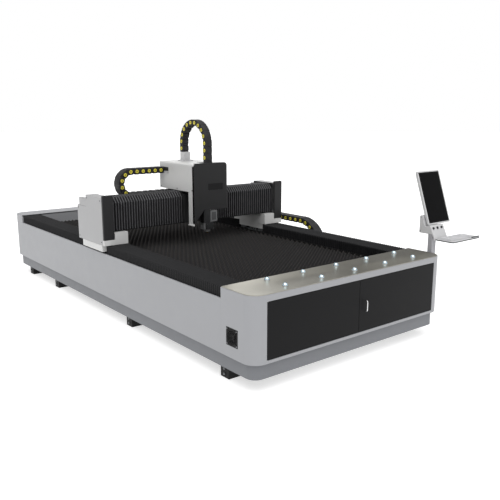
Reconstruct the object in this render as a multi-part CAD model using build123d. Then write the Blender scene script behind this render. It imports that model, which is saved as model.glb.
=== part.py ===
from build123d import *
import math
import os

# Fiber laser cutting machine with an open flat bed, in millimetres.
# +Z is up, +Y runs along the bed away from the cabinet doors, +X is to the right.
# The origin lies on the floor at the centre of the four anchor feet.

# Shell of the bed
SHELL_WIDTH = 2021.4
SHELL_LENGTH = 4500
CORNER_R = 109
PANEL_T = 4.2
PANEL_H = 397.4
CAP_H = 480.5
CAP_WALL = 12
FRONT_CAP_DEPTH = 350
REAR_CAP_DEPTH = 268
TOP_PLATE_T = 5
TOP_PLATE_MARGIN = 7

# Plinth and feet
PLINTH_H = 114.5
PLINTH_INSET = 30.2
PLINTH_WALL = 30
FOOT_X = 110
FOOT_Y = 100
FOOT_H = 100
FOOT_SETBACK = 5.5
FRONT_OVERHANG = 400
REAR_OVERHANG = 275
MIDDLE_FEET = (-0.1272, 0.3021)
ANCHOR_HOLE_R = 9
ANCHOR_HOLE_DEPTH = 60

# Welded frame
BEAM_W = 150
BEAM_H = 488
FLANGE_T = 12
CROSS_W = 100
CROSS_H = 100

# Cutting table
SLAT_T = 4
SLAT_H = 110
SLAT_PROUD = 6
SLAT_PITCH = 140
SLAT_TEETH = 8
TOOTH_H = 22
COMB_T = 25
COMB_H = 135
COMB_BELOW = 56
BEARER_T = 12
BEARER_H = 60
BEARER_X = 260
TRAY_SHEET = 3
TRAY_RISE = 120
TRAY_SLOPE = 160

# Rails, racks and pinions
RAIL_W = 23
RAIL_H = 22
RAIL_FROM_BEAM = 49.5
RACK_SIZE = 25
RACK_FROM_RAIL = 75
BLOCK_W = 70
BLOCK_L = 80
BLOCK_FOOT_GAP = 6
Y_BEARING_H = 34
X_BEARING_H = 36
PINION_MODULE = 2.5
PINION_TEETH = 16
PINION_T = 20
SHAFT_R = 7
MOTOR_SIZE = 70
Y_MOTOR_H = 290
X_MOTOR_H = 200
GEARBOX_SIZE = 60

# Bellows
Y_BELLOWS_H = 90
Y_BELLOWS_PITCH = 70
Y_BELLOWS_GAP = 6.5
X_BELLOWS_PITCH = 28
PLEAT_DEPTH = 13
BELLOWS_WALL = 3
X_BELLOWS_CHAMFER = 50

# Gantry
GANTRY_FRONT = -251.5
GANTRY_DEPTH = 539
COVER_OVERHANG = 23.3
COVER_W = 104
COVER_SHEET = 4
END_PLATE_T = 24
END_PLATE_H = 398
END_PLATE_R = 12
SADDLE_T = 58
SADDLE_SETBACK = 45
SADDLE_L = 406
FOOT_BLOCK_H = 48
RISER_H = 60
RISER_W = 128
BEAM_SETBACK = 79
GANTRY_BEAM_Y = 300
GANTRY_BEAM_Z = 230
GANTRY_WALL = 10
COVER_TOP_H = 425.7
COVER_STEP_H = 317.7
COVER_STEP_FROM = 349
BUMP_W = 30
BUMP_L = 150
BUMP_H = 75
BUMP_R = 14

# Carriage
CARRIAGE_HALF = 190
PLATE_FRONT_T = 25
PLATE_TOP_T = 20
CHEEK_T = 8
CHEEK_LAP = 80
HOUSING_W = 376
HOUSING_DEPTH = 611
HOUSING_PROUD = 175
HOUSING_BOTTOM_GAP = 31
HOUSING_H = 263
HOUSING_SHEET = 4
STRIP_L = 93
COVER_T = 4
COVER_PROUD = 4
COVER_BOTTOM_H = 437
COVER_CHEEK_H = 123
COVER_R = 18
CHEEK_X = 110
RECESS_X = 56
RECESS_DROP = 252
RECESS_W = 168
RECESS_H = 62
RECESS_DEPTH = 1.5
Z_MODULE_W = 110
Z_MODULE_D = 69
Z_MODULE_H = 350
SLIDE_T = 21
SLIDE_W = 120
SLIDE_H = 403

# Cutting head
HEAD_W = 110
HEAD_COLUMN_W = 75
HEAD_D = 74
HEAD_BOTTOM = 752
HEAD_BASE_H = 63
HEAD_H = 298
SIDE_BLOCK_W = 80
SIDE_BLOCK_H = 110
NOZZLE_RING_R = 28
NOZZLE_NECK_R = 18
NOZZLE_TIP_R = 4
NOZZLE_H = 40
NOZZLE_FACETS = 16
HEAD_X = -10

# Energy chains: pitch, link height, width, bend radius and number of links
X_CHAIN = dict(pitch=66, height=60, width=100, links=19)
Y_CHAIN = dict(pitch=77, height=57, width=100, links=33)
Z_CHAIN = dict(pitch=67, height=52, width=70, links=15)
X_CHAIN_TOP = 1296
X_CHAIN_BEND = -545
X_CHAIN_TRAY_T = 4
X_CHAIN_TRAY_D = 135
X_CHAIN_SETBACK = 357
Y_CHAIN_TOP = 747
Y_CHAIN_R = 280
Y_CHAIN_BEND = -522.5
Y_CHAIN_GAP = 8
Y_CHAIN_TRAY_BACK = 80
Z_CHAIN_R = 200
Z_CHAIN_BEND = 1555
Z_CHAIN_FRONT = -367.5
Z_CHAIN_SEAT = 1470
PEDESTAL_FRONT = 95
BOSS_H = 3
LINK_GAP = 0.6

# Cabinet doors
DOOR_HALF = 887.5
DOOR_H = 402.4
DOOR_Z = 240.3
DOOR_T = 20
DOOR_SKIN = 3
DOOR_RIM = 18
DOOR_GAP = 3
PIVOT_R = 4
PIVOT_FIT = 0.06
PIN_SIDES = 12
PIVOT_IN = 6
PIVOT_L = 8
PULL_X = 60
PULL_Z = 395
PULL_H = 88
PULL_R = 5
PULL_OUT = 26

# Cabinet inside and fan
MOUNT_PLATE_Y = 300
MOUNT_PLATE_HALF = 800
MOUNT_PLATE_H = 430
MOUNT_PLATE_T = 3
DRIVES = 4
DRIVE_MARGIN = 200
DRIVE_PITCH = 110
DRIVE_W = 80
DRIVE_D = 140
DRIVE_H = 210
DRIVE_RAISE = 124
SUPPLY_W = 220
SUPPLY_D = 60
SUPPLY_H = 130
CONTROLLER_W = 250
CONTROLLER_D = 90
CONTROLLER_H = 180
CONTACTOR_D = 55
CONTACTOR_H = 60
CONTACTOR_RAISE = 34
FAN_SIZE = 130
FAN_DEPTH = 38
FAN_BORE_R = 60
FAN_HUB_R = 21
FAN_Y = 224.5
FAN_Z = 365
FAN_SHAFT_R = 4
FAN_BLADES = 7

# Ball transfer units
BALL_R = 16
BALL_CUP_R = 22
BALL_CUP_H = 9
BALL_PITCH = 345
BALL_X = 30
BALL_ROWS = (85, 280)
BALLS_PER_ROW = 5
BALL_FACETS = 8

# Console
POST_GAP = 29.3
POST_W = 55
POST_D = 45
POST_Y = 138
POST_BOTTOM = 230
BOX_GAP = 24.3
BOX_W = 180
BOX_BOTTOM = 840
PANEL_FOOT_Y = 112.5
PANEL_TOP_Y = 160
SCREEN_GAP = 39.3
SCREEN_W = 305
SCREEN_H = 468
SCREEN_T = 32
SCREEN_TILT = 19
SCREEN_Y = 186
SCREEN_Z = 913
SCREEN_BORDER = 14
TRAY_W = 400
TRAY_D = 171
TRAY_Z = 804
TRAY_T = 12
BUTTONS = 3
BUTTON_FACETS = 20
BUTTON_R = 11
BUTTON_H = 8
BUTTON_SUNK = 1
BUTTON_TRAVEL = 3
BUTTON_INSET = 29
BUTTON_PITCH = 56
BUTTON_DROP = 24

FIT = 0.3
CHAIN_LIE = 2.3

# Heights
Z_SHELL = FOOT_H + PLINTH_H
PANEL_TOP = Z_SHELL + PANEL_H
CAP_TOP = Z_SHELL + CAP_H
FRONT_CAP_TOP = CAP_TOP - TOP_PLATE_T
DECK = FOOT_H + BEAM_H + FLANGE_T
SLAT_TOP = DECK + SLAT_PROUD
SLAT_BOTTOM = SLAT_TOP - SLAT_H
SADDLE_Z = DECK + Y_BEARING_H
FOOT_BLOCK_Z = SADDLE_Z + SADDLE_T
END_PLATE_Z = FOOT_BLOCK_Z + FOOT_BLOCK_H
GBEAM_Z = END_PLATE_Z + RISER_H
GBEAM_TOP = GBEAM_Z + GANTRY_BEAM_Z
PLATE_Z = GBEAM_TOP + X_BEARING_H
PLATE_TOP = PLATE_Z + PLATE_TOP_T
HOUSING_Z = PLATE_TOP + HOUSING_BOTTOM_GAP
HOUSING_TOP = HOUSING_Z + HOUSING_H

# Widths, measured from the middle
HALF = SHELL_WIDTH / 2
PANEL_IN = HALF - PANEL_T
PLINTH_OUT = HALF - PLINTH_INSET
BEAM_OUT = PLINTH_OUT - PLINTH_WALL
BEAM_IN = BEAM_OUT - BEAM_W
FOOT_OUT = BEAM_OUT - FOOT_SETBACK
ANCHOR_SPACING_X = 2 * FOOT_OUT - FOOT_X
RAIL_X = BEAM_IN + RAIL_FROM_BEAM
RACK_X = RAIL_X + RACK_FROM_RAIL
PINION_R = PINION_MODULE * PINION_TEETH / 2
PINION_TIP_R = PINION_R + PINION_MODULE
Y_PINION_X = RACK_X + RACK_SIZE + PINION_TIP_R + FIT
COVER_OUT = HALF + COVER_OVERHANG
POST_X = HALF + POST_GAP
BOX_X = HALF + BOX_GAP
SCREEN_X = HALF + SCREEN_GAP
COVER_IN = COVER_OUT - COVER_W

# Lengths, from front to rear
ANCHOR_SPACING_Y = SHELL_LENGTH - FRONT_OVERHANG - REAR_OVERHANG
FRONT = -ANCHOR_SPACING_Y / 2 - FRONT_OVERHANG
REAR = FRONT + SHELL_LENGTH
BED_FRONT = FRONT + FRONT_CAP_DEPTH
BED_REAR = REAR - REAR_CAP_DEPTH
GANTRY_REAR = GANTRY_FRONT + GANTRY_DEPTH
COVER_FRONT = GANTRY_FRONT + END_PLATE_T
COVER_STEP = GANTRY_FRONT + COVER_STEP_FROM
SADDLE_FRONT = GANTRY_FRONT + SADDLE_SETBACK
SADDLE_REAR = SADDLE_FRONT + SADDLE_L
GBEAM_FRONT = GANTRY_FRONT + BEAM_SETBACK
GBEAM_REAR = GBEAM_FRONT + GANTRY_BEAM_Y
Y_PINION_Y = SADDLE_REAR - GEARBOX_SIZE / 2 - COVER_SHEET
TOP_RAIL_Y = GBEAM_FRONT + 70
FRONT_RAIL_Z = GBEAM_Z + 65
X_RACK_Y = GBEAM_FRONT + 130
X_PINION_Y = X_RACK_Y + RACK_SIZE + PINION_TIP_R + FIT
PLATE_REAR_FACE = GBEAM_FRONT - X_BEARING_H
PLATE_FACE = PLATE_REAR_FACE - PLATE_FRONT_T
HOUSING_FRONT = PLATE_FACE - HOUSING_PROUD
HOUSING_REAR = HOUSING_FRONT + HOUSING_DEPTH
COVER_FACE = HOUSING_FRONT - COVER_T


# Basic shapes

def block(x0, x1, y0, y1, z0, z1):
    """Box between two corners."""
    corner = (Align.MIN, Align.MIN, Align.MIN)
    return Pos(x0, y0, z0) * Box(x1 - x0, y1 - y0, z1 - z0, align=corner)


def prism(points, sweep):
    """Solid swept from a flat polygon along a straight direction."""
    face = Face(Wire.make_polygon([Vector(*p) for p in points], close=True))
    return Solid.extrude(face, Vector(*sweep))


def prism_x(profile, x0, x1):
    """Profile of (y, z) points, swept along X."""
    return prism([(x0, y, z) for y, z in profile], (x1 - x0, 0, 0))


def prism_y(profile, y0, y1):
    """Profile of (x, z) points, swept along Y."""
    return prism([(x, y0, z) for x, z in profile], (0, y1 - y0, 0))


def prism_z(profile, z0, z1):
    """Profile of (x, y) points, swept upwards."""
    return prism([(x, y, z0) for x, y in profile], (0, 0, z1 - z0))


def rod(x, y, z0, z1, r):
    """Upright cylinder."""
    return Pos(x, y, z0) * Cylinder(r, z1 - z0, align=(Align.CENTER, Align.CENTER, Align.MIN))


def pin(x, y, z0, z1, r):
    """Upright many-sided pin that stays inside its radius."""
    return prism_z(regular(x, y, r, PIN_SIDES), z0, z1)


def pin_hole(x, y, z0, z1, r):
    """Hole that a pin of the given radius turns in."""
    return pin(x, y, z0, z1, (r + PIVOT_FIT) / math.cos(math.pi / PIN_SIDES))


def slab(half, y0, y1, r, z0, z1):
    """Upright slab with rounded corners."""
    outline = RectangleRounded(2 * half, y1 - y0, r)
    return Pos(0, (y0 + y1) / 2, z0) * extrude(outline, z1 - z0)


def mirrored(shape):
    """The same piece on the left side."""
    return mirror(shape, Plane.YZ)


def both(shape):
    """A right piece and its left copy."""
    return [shape, mirrored(shape)]


def turned(x, y, z, profile, sides):
    """Upright faceted body: (radius, height) steps from the bottom up, as a many-sided turning."""
    rings = [[(x + a, y + b, z + h) for a, b in regular(0, 0, r, sides)] for r, h in profile]
    polygons = [rings[0], rings[-1]]
    for low, high in zip(rings, rings[1:]):
        for k in range(sides):
            n = (k + 1) % sides
            polygons.append([low[k], low[n], high[n], high[k]])
    return Solid(Shell([Face(Wire.make_polygon([Vector(*p) for p in q], close=True)) for q in polygons]))


def regular(centre_a, centre_b, r, sides):
    """Corners of a regular polygon with a flat side up."""
    turns = [math.tau * (i + 0.5) / sides for i in range(sides)]
    return [(centre_a + r * math.cos(t), centre_b + r * math.sin(t)) for t in turns]


# Bed

def base_frame():
    """Welded side beams on full-length chords, with rail flanges and cross members."""
    y0 = FRONT + PLINTH_INSET + PLINTH_WALL
    y1 = REAR - PLINTH_INSET - PLINTH_WALL
    side = block(BEAM_IN, BEAM_OUT, y0, y1, FOOT_H, Z_SHELL)
    side += block(BEAM_IN, BEAM_OUT, BED_FRONT, BED_REAR, Z_SHELL, DECK - FLANGE_T)
    side += block(BEAM_IN, PANEL_IN, BED_FRONT, BED_REAR, DECK - FLANGE_T, DECK)
    frame = side + mirrored(side)
    for y in foot_rows():
        frame += block(-BEAM_IN, BEAM_IN, y - CROSS_W / 2, y + CROSS_W / 2, FOOT_H, FOOT_H + CROSS_H)
    return frame


def foot_rows():
    """Places of the four rows of feet along the bed."""
    return [share * ANCHOR_SPACING_Y for share in (-0.5, *MIDDLE_FEET, 0.5)]


def plinth_skirt():
    """Set-back plinth sheet around the foot of the shell."""
    y0 = FRONT + PLINTH_INSET
    y1 = REAR - PLINTH_INSET
    ring = slab(PLINTH_OUT, y0, y1, CORNER_R - PLINTH_INSET, FOOT_H, Z_SHELL)
    return ring - block(-BEAM_OUT, BEAM_OUT, y0 + PLINTH_WALL, y1 - PLINTH_WALL, FOOT_H - 1, Z_SHELL + 1)


def foot_blocks():
    """Eight steel feet, the corner ones bored for the anchor bolts."""
    feet = []
    for y in foot_rows():
        foot = block(FOOT_OUT - FOOT_X, FOOT_OUT, y - FOOT_Y / 2, y + FOOT_Y / 2, 0, FOOT_H)
        if abs(y) == ANCHOR_SPACING_Y / 2:
            foot -= rod(ANCHOR_SPACING_X / 2, y, -1, ANCHOR_HOLE_DEPTH, ANCHOR_HOLE_R)
        feet += both(foot)
    return feet


def side_panel():
    """Right outer panel with its flange folded in at the bottom."""
    panel = block(PANEL_IN, HALF, BED_FRONT, BED_REAR, Z_SHELL, PANEL_TOP)
    return panel + block(BEAM_OUT, PANEL_IN, BED_FRONT, BED_REAR, Z_SHELL, Z_SHELL + PANEL_T)


def front_end_cap():
    """Cabinet shell with a door opening, pivot bores and the fan cut-out."""
    cap = slab(HALF, FRONT, BED_FRONT + CORNER_R, CORNER_R, Z_SHELL, FRONT_CAP_TOP)
    cap -= block(-HALF - 1, HALF + 1, BED_FRONT, BED_FRONT + CORNER_R + 1, Z_SHELL - 1, FRONT_CAP_TOP + 1)
    inner = HALF - CAP_WALL
    inner_r = CORNER_R - CAP_WALL
    room = slab(inner, FRONT + CAP_WALL, BED_FRONT + inner_r, inner_r, Z_SHELL + CAP_WALL, FRONT_CAP_TOP - CAP_WALL)
    room -= block(-HALF, HALF, BED_FRONT - CAP_WALL, BED_FRONT + inner_r + 1, Z_SHELL, FRONT_CAP_TOP)
    cap -= room
    low = DOOR_Z - DOOR_GAP
    high = DOOR_Z + DOOR_H + DOOR_GAP
    side = DOOR_HALF + DOOR_GAP
    cap -= block(-side, side, FRONT - 1, FRONT + CAP_WALL + 1, low, high)
    for x in (-DOOR_HALF + PIVOT_IN, DOOR_HALF - PIVOT_IN):
        depth = DOOR_GAP + PIVOT_L
        cap -= pin_hole(x, FRONT + PIVOT_IN, low - depth, high + depth, PIVOT_R)
    hole = FAN_SIZE / 2 + FIT
    y = FRONT + FAN_Y
    cap -= block(-HALF - 1, -inner + 1, y - hole, y + hole, FAN_Z - hole, FAN_Z + hole)
    return cap


def rear_end_cap():
    """Closed rear end of the shell."""
    cap = slab(HALF, BED_REAR - CORNER_R, REAR, CORNER_R, Z_SHELL, CAP_TOP)
    return cap - block(-HALF - 1, HALF + 1, BED_REAR - CORNER_R - 1, BED_REAR, Z_SHELL - 1, CAP_TOP + 1)


def front_top_plate():
    """Stainless loading plate on the front cap."""
    half = HALF - TOP_PLATE_MARGIN
    r = CORNER_R - TOP_PLATE_MARGIN
    plate = slab(half, FRONT + TOP_PLATE_MARGIN, BED_FRONT + r, r, FRONT_CAP_TOP, CAP_TOP)
    return plate - block(-HALF, HALF, BED_FRONT, BED_FRONT + r + 1, FRONT_CAP_TOP - 1, CAP_TOP + 1)


def ball_units():
    """Ball transfer units: a flanged cup and its ball, in two rows."""
    pieces = []
    for row in BALL_ROWS:
        for i in range(BALLS_PER_ROW):
            x = BALL_X + (i - (BALLS_PER_ROW - 1) / 2) * BALL_PITCH
            y = FRONT + row
            cup = [(BALL_CUP_R, 0), (BALL_CUP_R, BALL_CUP_H / 2), (BALL_CUP_R - 6, BALL_CUP_H)]
            pieces.append(turned(x, y, CAP_TOP, cup, BALL_FACETS))
            turns = [math.radians(a) for a in (0, 45, 75)]
            ball = [(BALL_R * math.cos(t), BALL_CUP_H + BALL_R * math.sin(t)) for t in turns]
            pieces.append(turned(x, y, CAP_TOP, ball, BALL_FACETS))
    return pieces


def slat_places():
    """Places of the slats along the bed, evenly about its middle."""
    count = int((BED_REAR - BED_FRONT - 2 * COMB_T) / SLAT_PITCH)
    middle = (BED_FRONT + BED_REAR) / 2
    return [middle + (i - (count - 1) / 2) * SLAT_PITCH for i in range(count)]


def slats():
    """Upright serrated slats that carry the sheet."""
    end = BEAM_IN - 10.5
    tooth = 2 * end / SLAT_TEETH
    low = SLAT_TOP - TOOTH_H
    outline = [(end, SLAT_BOTTOM), (end, low)]
    for i in range(SLAT_TEETH):
        right = end - i * tooth
        outline += [(right - tooth / 2, SLAT_TOP), (right - tooth, low)]
    outline.append((-end, SLAT_BOTTOM))
    return [prism_y(outline, y - SLAT_T / 2, y + SLAT_T / 2) for y in slat_places()]


def slat_frame():
    """Slotted side combs, end bars and two bearers under the slats."""
    z0 = SLAT_BOTTOM - COMB_BELOW
    inner = BEAM_IN - COMB_T
    comb = block(inner, BEAM_IN, BED_FRONT, BED_REAR, z0, z0 + COMB_H)
    half = SLAT_T / 2 + FIT
    for y in slat_places():
        comb -= block(inner - 1, BEAM_IN + 1, y - half, y + half, SLAT_BOTTOM, z0 + COMB_H + 1)
    frame = comb + mirrored(comb)
    for y in (BED_FRONT, BED_REAR - COMB_T):
        frame += block(-inner, inner, y, y + COMB_T, z0, z0 + COMB_H)
    z1 = SLAT_BOTTOM - BEARER_H
    for x in (-BEARER_X, BEARER_X):
        frame += block(x - BEARER_T / 2, x + BEARER_T / 2, BED_FRONT, BED_REAR, z1, SLAT_BOTTOM)
    return frame


def slag_tray():
    """Folded tray with sloping sides on the cross members."""
    z = FOOT_H + CROSS_H
    top = z + TRAY_RISE
    foot = BEAM_IN - TRAY_SLOPE
    under = [(-BEAM_IN, top), (-foot, z), (foot, z), (BEAM_IN, top)]
    over = [(x, h + TRAY_SHEET) for x, h in reversed(under)]
    return prism_y(under + over, BED_FRONT + FIT, BED_REAR - FIT)


def rail_profile(a, b):
    """Profile rail with a waist, standing at height b on centre line a."""
    foot = RAIL_W / 2
    waist = foot - 3.5
    low = [(foot, 0), (foot, 7), (waist, 9), (waist, 13), (foot, 15), (foot, RAIL_H)]
    right = [(a + u, b + v) for u, v in low]
    return right + [(a - u, b + v) for u, v in reversed(low)]


def carriage_profile(a, b, height):
    """Bearing block of a profile rail, grooved over the rail."""
    half = BLOCK_W / 2
    groove = RAIL_W / 2 + FIT
    roof = RAIL_H + FIT
    right = [(groove, BLOCK_FOOT_GAP), (half, BLOCK_FOOT_GAP), (half, height)]
    outer = [(a + u, b + v) for u, v in right] + [(a - u, b + v) for u, v in reversed(right)]
    return outer + [(a - groove, b + roof), (a + groove, b + roof)]


def y_rails():
    """Long profile rails on the deck flanges."""
    return both(prism_y(rail_profile(RAIL_X, DECK), BED_FRONT + 20, BED_REAR - 20))


def y_racks():
    """Rack bars beside the long rails."""
    return both(block(RACK_X, RACK_X + RACK_SIZE, BED_FRONT + 20, BED_REAR - 20, DECK, DECK + RACK_SIZE))


# Bellows

def folded_skin(ridge, valley, inner, stations, place):
    """Pleated skin of flat panels: open outlines swept over the stations, by turns ridge and valley."""
    rings = [[place(p, s) for p in (ridge if i % 2 else valley)] for i, s in enumerate(stations)]
    first = [place(p, stations[0]) for p in inner]
    last = [place(p, stations[-1]) for p in inner]
    polygons = []
    for a, b in zip(rings, rings[1:]):
        polygons += [[a[k], a[k + 1], b[k + 1], b[k]] for k in range(len(a) - 1)]
    polygons += [[first[k], first[k + 1], last[k + 1], last[k]] for k in range(len(first) - 1)]
    polygons += [[r[k] for r in rings] + [last[k], first[k]] for k in (0, -1)]
    polygons += [rings[0] + first[::-1], rings[-1] + last[::-1]]
    faces = [Face(Wire.make_polygon([Vector(*p) for p in polygon], close=True)) for polygon in polygons]
    return Solid(Shell(faces))


def pleats(start, end, pitch):
    """Stations of whole pleats between two ends, a valley at each end."""
    count = max(2, round(abs(end - start) / pitch))
    return [start + (end - start) * i / (2 * count) for i in range(2 * count + 1)]


def hood(inset):
    """Three-sided outline over the long rail, set in by an inset."""
    x0 = BEAM_IN + inset
    x1 = PANEL_IN - Y_BELLOWS_GAP - inset
    top = DECK + Y_BELLOWS_H - inset
    return [(x0, DECK), (x0, top), (x1, top), (x1, DECK)]


def y_bellows(start, end):
    """Right and left way covers between an end cap and the gantry."""
    skin = folded_skin(
        hood(0),
        hood(PLEAT_DEPTH),
        hood(PLEAT_DEPTH + BELLOWS_WALL),
        pleats(start, end, Y_BELLOWS_PITCH),
        lambda p, s: (p[0], s, p[1]),
    )
    return both(skin)


def apron(inset):
    """Front, chamfer and top outline around the gantry beam, set in by an inset."""
    front = PLATE_REAR_FACE - 11 + inset
    top = HOUSING_Z - 5 - inset
    cut = X_BELLOWS_CHAMFER - inset * (2 - math.sqrt(2))
    rear = GBEAM_FRONT + 140
    return [(front, GBEAM_Z + 15), (front, top - cut), (front + cut, top), (rear, top)]


def x_bellows(start, end):
    """Pleated apron over the beam between the carriage and an end cover."""
    return folded_skin(
        apron(0),
        apron(PLEAT_DEPTH),
        apron(PLEAT_DEPTH + BELLOWS_WALL),
        pleats(start, end, X_BELLOWS_PITCH),
        lambda p, s: (s, p[0], p[1]),
    )


# Energy chains

def chain_path(radius, upper, lower, links, pitch):
    """Centre and turn of each link: (run, lift, angle), from the moving end, the bend centre at (0, 0)."""
    arc = math.pi * radius
    places = []
    for i in range(links):
        s = (i + 0.5) * pitch
        if s < upper:
            places.append((upper - s, radius, 0.0))
        elif s < upper + arc:
            turn = (s - upper) / radius
            places.append((-radius * math.sin(turn), radius * math.cos(turn), turn))
        else:
            places.append((s - upper - arc, -radius, math.pi))
    return places


def link_outline(chain, radius):
    """Six-sided side view of a link, its ends kept apart from its neighbours in the bend."""
    half = (chain["pitch"] - LINK_GAP) / 2
    edge = chain["height"] / 2
    slope = math.tan(chain["pitch"] / radius / 2)
    short = (radius - edge) * slope - LINK_GAP
    nose = (half + LINK_GAP / 6) / slope - radius
    return [(half, nose), (short, edge), (-short, edge), (-half, nose), (-short, -edge), (short, -edge)]


def chain(spec, radius, upper, place, side, bosses):
    """Links with pin bosses; place maps (run, lift) to a point, side is the width direction."""
    outline = link_outline(spec, radius)
    boss = regular(0, 0, spec["height"] * 0.4, 4)
    links = []
    for run, lift, turn in chain_path(radius, upper, 0, spec["links"], spec["pitch"]):
        c, s = math.cos(turn), math.sin(turn)

        def spot(p, across):
            u, v = run + p[0] * c - p[1] * s, lift + p[0] * s + p[1] * c
            base = place(u, v)
            return tuple(b + across * d for b, d in zip(base, side))

        width = spec["width"]
        body = prism([spot(p, BOSS_H) for p in outline], [width * d for d in side])
        for across in bosses:
            body += prism([spot(p, across) for p in boss], [BOSS_H * d for d in side])
        links.append(body)
    return links


def chain_free(spec, radius, upper):
    """Length of the run that is left beyond the bend."""
    return spec["links"] * spec["pitch"] - math.pi * radius - upper


# Right side of the bed: tray of the long chain

def y_chain_numbers():
    """Rear end of the upper run, chain side and the level of the lower run."""
    near = COVER_OUT + Y_CHAIN_GAP
    low = Y_CHAIN_TOP - 2 * Y_CHAIN_R
    return near, low, GANTRY_REAR - 20


def y_chain():
    near, low, moving = y_chain_numbers()
    middle = low + Y_CHAIN_R
    return chain(
        Y_CHAIN,
        Y_CHAIN_R,
        moving - Y_CHAIN_BEND,
        lambda u, v: (near - BOSS_H, Y_CHAIN_BEND + u, middle + v),
        (1, 0, 0),
        (0,),
    )


def y_chain_tray():
    """Guide channel of the long chain, hung on the right panel."""
    near, low, moving = y_chain_numbers()
    floor = low - Y_CHAIN["height"] / 2 - CHAIN_LIE
    far = near + Y_CHAIN["width"] + 8
    sheet = 4
    back = Z_SHELL + Y_CHAIN_TRAY_BACK
    profile = [
        (HALF, floor - sheet), (far, floor - sheet), (far, floor + 25), (far - sheet, floor + 25),
        (far - sheet, floor), (HALF + sheet, floor), (HALF + sheet, back), (HALF, back),
    ]
    end = Y_CHAIN_BEND + chain_free(Y_CHAIN, Y_CHAIN_R, moving - Y_CHAIN_BEND)
    tray = prism_y(profile, Y_CHAIN_BEND - 790, end + 30)
    return tray + block(near, near + Y_CHAIN["width"], end + LINK_GAP, end + 20, floor, floor + 50)


# Gantry

def gantry_beam():
    """Hollow cross beam."""
    beam = block(-COVER_IN, COVER_IN, GBEAM_FRONT, GBEAM_REAR, GBEAM_Z, GBEAM_TOP)
    w = GANTRY_WALL
    return beam - block(-COVER_IN - 1, COVER_IN + 1, GBEAM_FRONT + w, GBEAM_REAR - w, GBEAM_Z + w, GBEAM_TOP - w)


def gantry_feet():
    """Saddle, foot block and riser at each end, with the motor pocket."""
    saddle = block(BEAM_IN + 12, COVER_OUT, SADDLE_FRONT, SADDLE_REAR, SADDLE_Z, FOOT_BLOCK_Z)
    hole = GEARBOX_SIZE / 2 + FIT
    saddle -= block(Y_PINION_X - hole, Y_PINION_X + hole, Y_PINION_Y - hole, Y_PINION_Y + hole,
                    SADDLE_Z - 1, FOOT_BLOCK_Z + 1)
    inside = COVER_OUT - COVER_SHEET - FIT
    foot = block(BEAM_IN, inside, GANTRY_FRONT, GANTRY_REAR - COVER_SHEET - FIT, FOOT_BLOCK_Z, END_PLATE_Z)
    foot += block(inside - 1, COVER_OUT, GANTRY_FRONT, COVER_FRONT - FIT, FOOT_BLOCK_Z, END_PLATE_Z)
    pocket = MOTOR_SIZE / 2 + FIT
    foot -= block(Y_PINION_X - pocket, Y_PINION_X + pocket, Y_PINION_Y - pocket, Y_PINION_Y + pocket,
                  FOOT_BLOCK_Z - 1, END_PLATE_Z + 1)
    riser = block(BEAM_IN, BEAM_IN + RISER_W, GANTRY_FRONT, GBEAM_REAR, END_PLATE_Z, GBEAM_Z)
    return both(saddle + foot + riser)


def gantry_end_plates():
    """Black front plates that stand on the foot blocks."""
    top = END_PLATE_Z + END_PLATE_H
    plate = block(COVER_IN + COVER_SHEET, COVER_OUT, GANTRY_FRONT, COVER_FRONT, END_PLATE_Z, top)
    corners = plate.edges().filter_by(Axis.Y).group_by(Axis.Z)[-1]
    return both(chamfer(corners, END_PLATE_R))


def gantry_cover():
    """Right end cover: stepped sheet housing, open below, with its connector box and chain bracket."""
    low = FOOT_BLOCK_Z + FIT
    top = FOOT_BLOCK_Z + COVER_TOP_H
    step = FOOT_BLOCK_Z + COVER_STEP_H
    t = COVER_SHEET

    def side(g):
        return [(COVER_FRONT + g, low), (COVER_FRONT + g, top - g), (COVER_STEP - g, top - g),
                (COVER_STEP - g, step - g), (GANTRY_REAR - g, step - g), (GANTRY_REAR - g, low)]

    cover = prism_x(side(0), COVER_IN, COVER_OUT)
    room = prism_x(side(t), COVER_IN + t, COVER_OUT - t)
    cover = cover - room
    gate = END_PLATE_Z + FIT
    cover -= block(COVER_IN - 1, COVER_IN + t + 1, COVER_FRONT - 1, GANTRY_REAR - t, low - 1, gate)
    cover -= block(COVER_IN, COVER_OUT - t, COVER_FRONT - 1, COVER_FRONT + t + 1, low - 1, gate)
    bump = block(COVER_OUT - BUMP_W - 1, COVER_OUT - 1, COVER_STEP, COVER_STEP + BUMP_L, step, step + BUMP_H)
    corners = bump.edges().filter_by(Axis.X).group_by(Axis.Z)[-1]
    return cover + chamfer(corners, BUMP_R)


def gantry_covers():
    """End covers and the long chain's bracket on the right one."""
    near, low, moving = y_chain_numbers()
    half = Y_CHAIN["height"] / 2
    bracket = block(near, near + Y_CHAIN["width"], moving, moving + 6, Y_CHAIN_TOP - half, Y_CHAIN_TOP + half)
    bracket += block(COVER_OUT, near, moving, moving + 18, Y_CHAIN_TOP - half, Y_CHAIN_TOP + half)
    return both(gantry_cover()) + [bracket]


def y_bearings():
    """Four bearing blocks on the long rails."""
    pieces = []
    for y in (SADDLE_FRONT + 4, SADDLE_REAR - 22 - BLOCK_L):
        pieces += both(prism_y(carriage_profile(RAIL_X, DECK, Y_BEARING_H), y, y + BLOCK_L))
    return pieces


def y_pinion_top():
    """Top of the pinions that run on the long racks."""
    return DECK + 2 + PINION_T


def servo(x, y, z, height):
    """Upright servo motor."""
    half = MOTOR_SIZE / 2
    body = block(x - half, x + half, y - half, y + half, z, z + height)
    return chamfer(body.edges().filter_by(Axis.Z), MOTOR_SIZE * 0.12)


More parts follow.
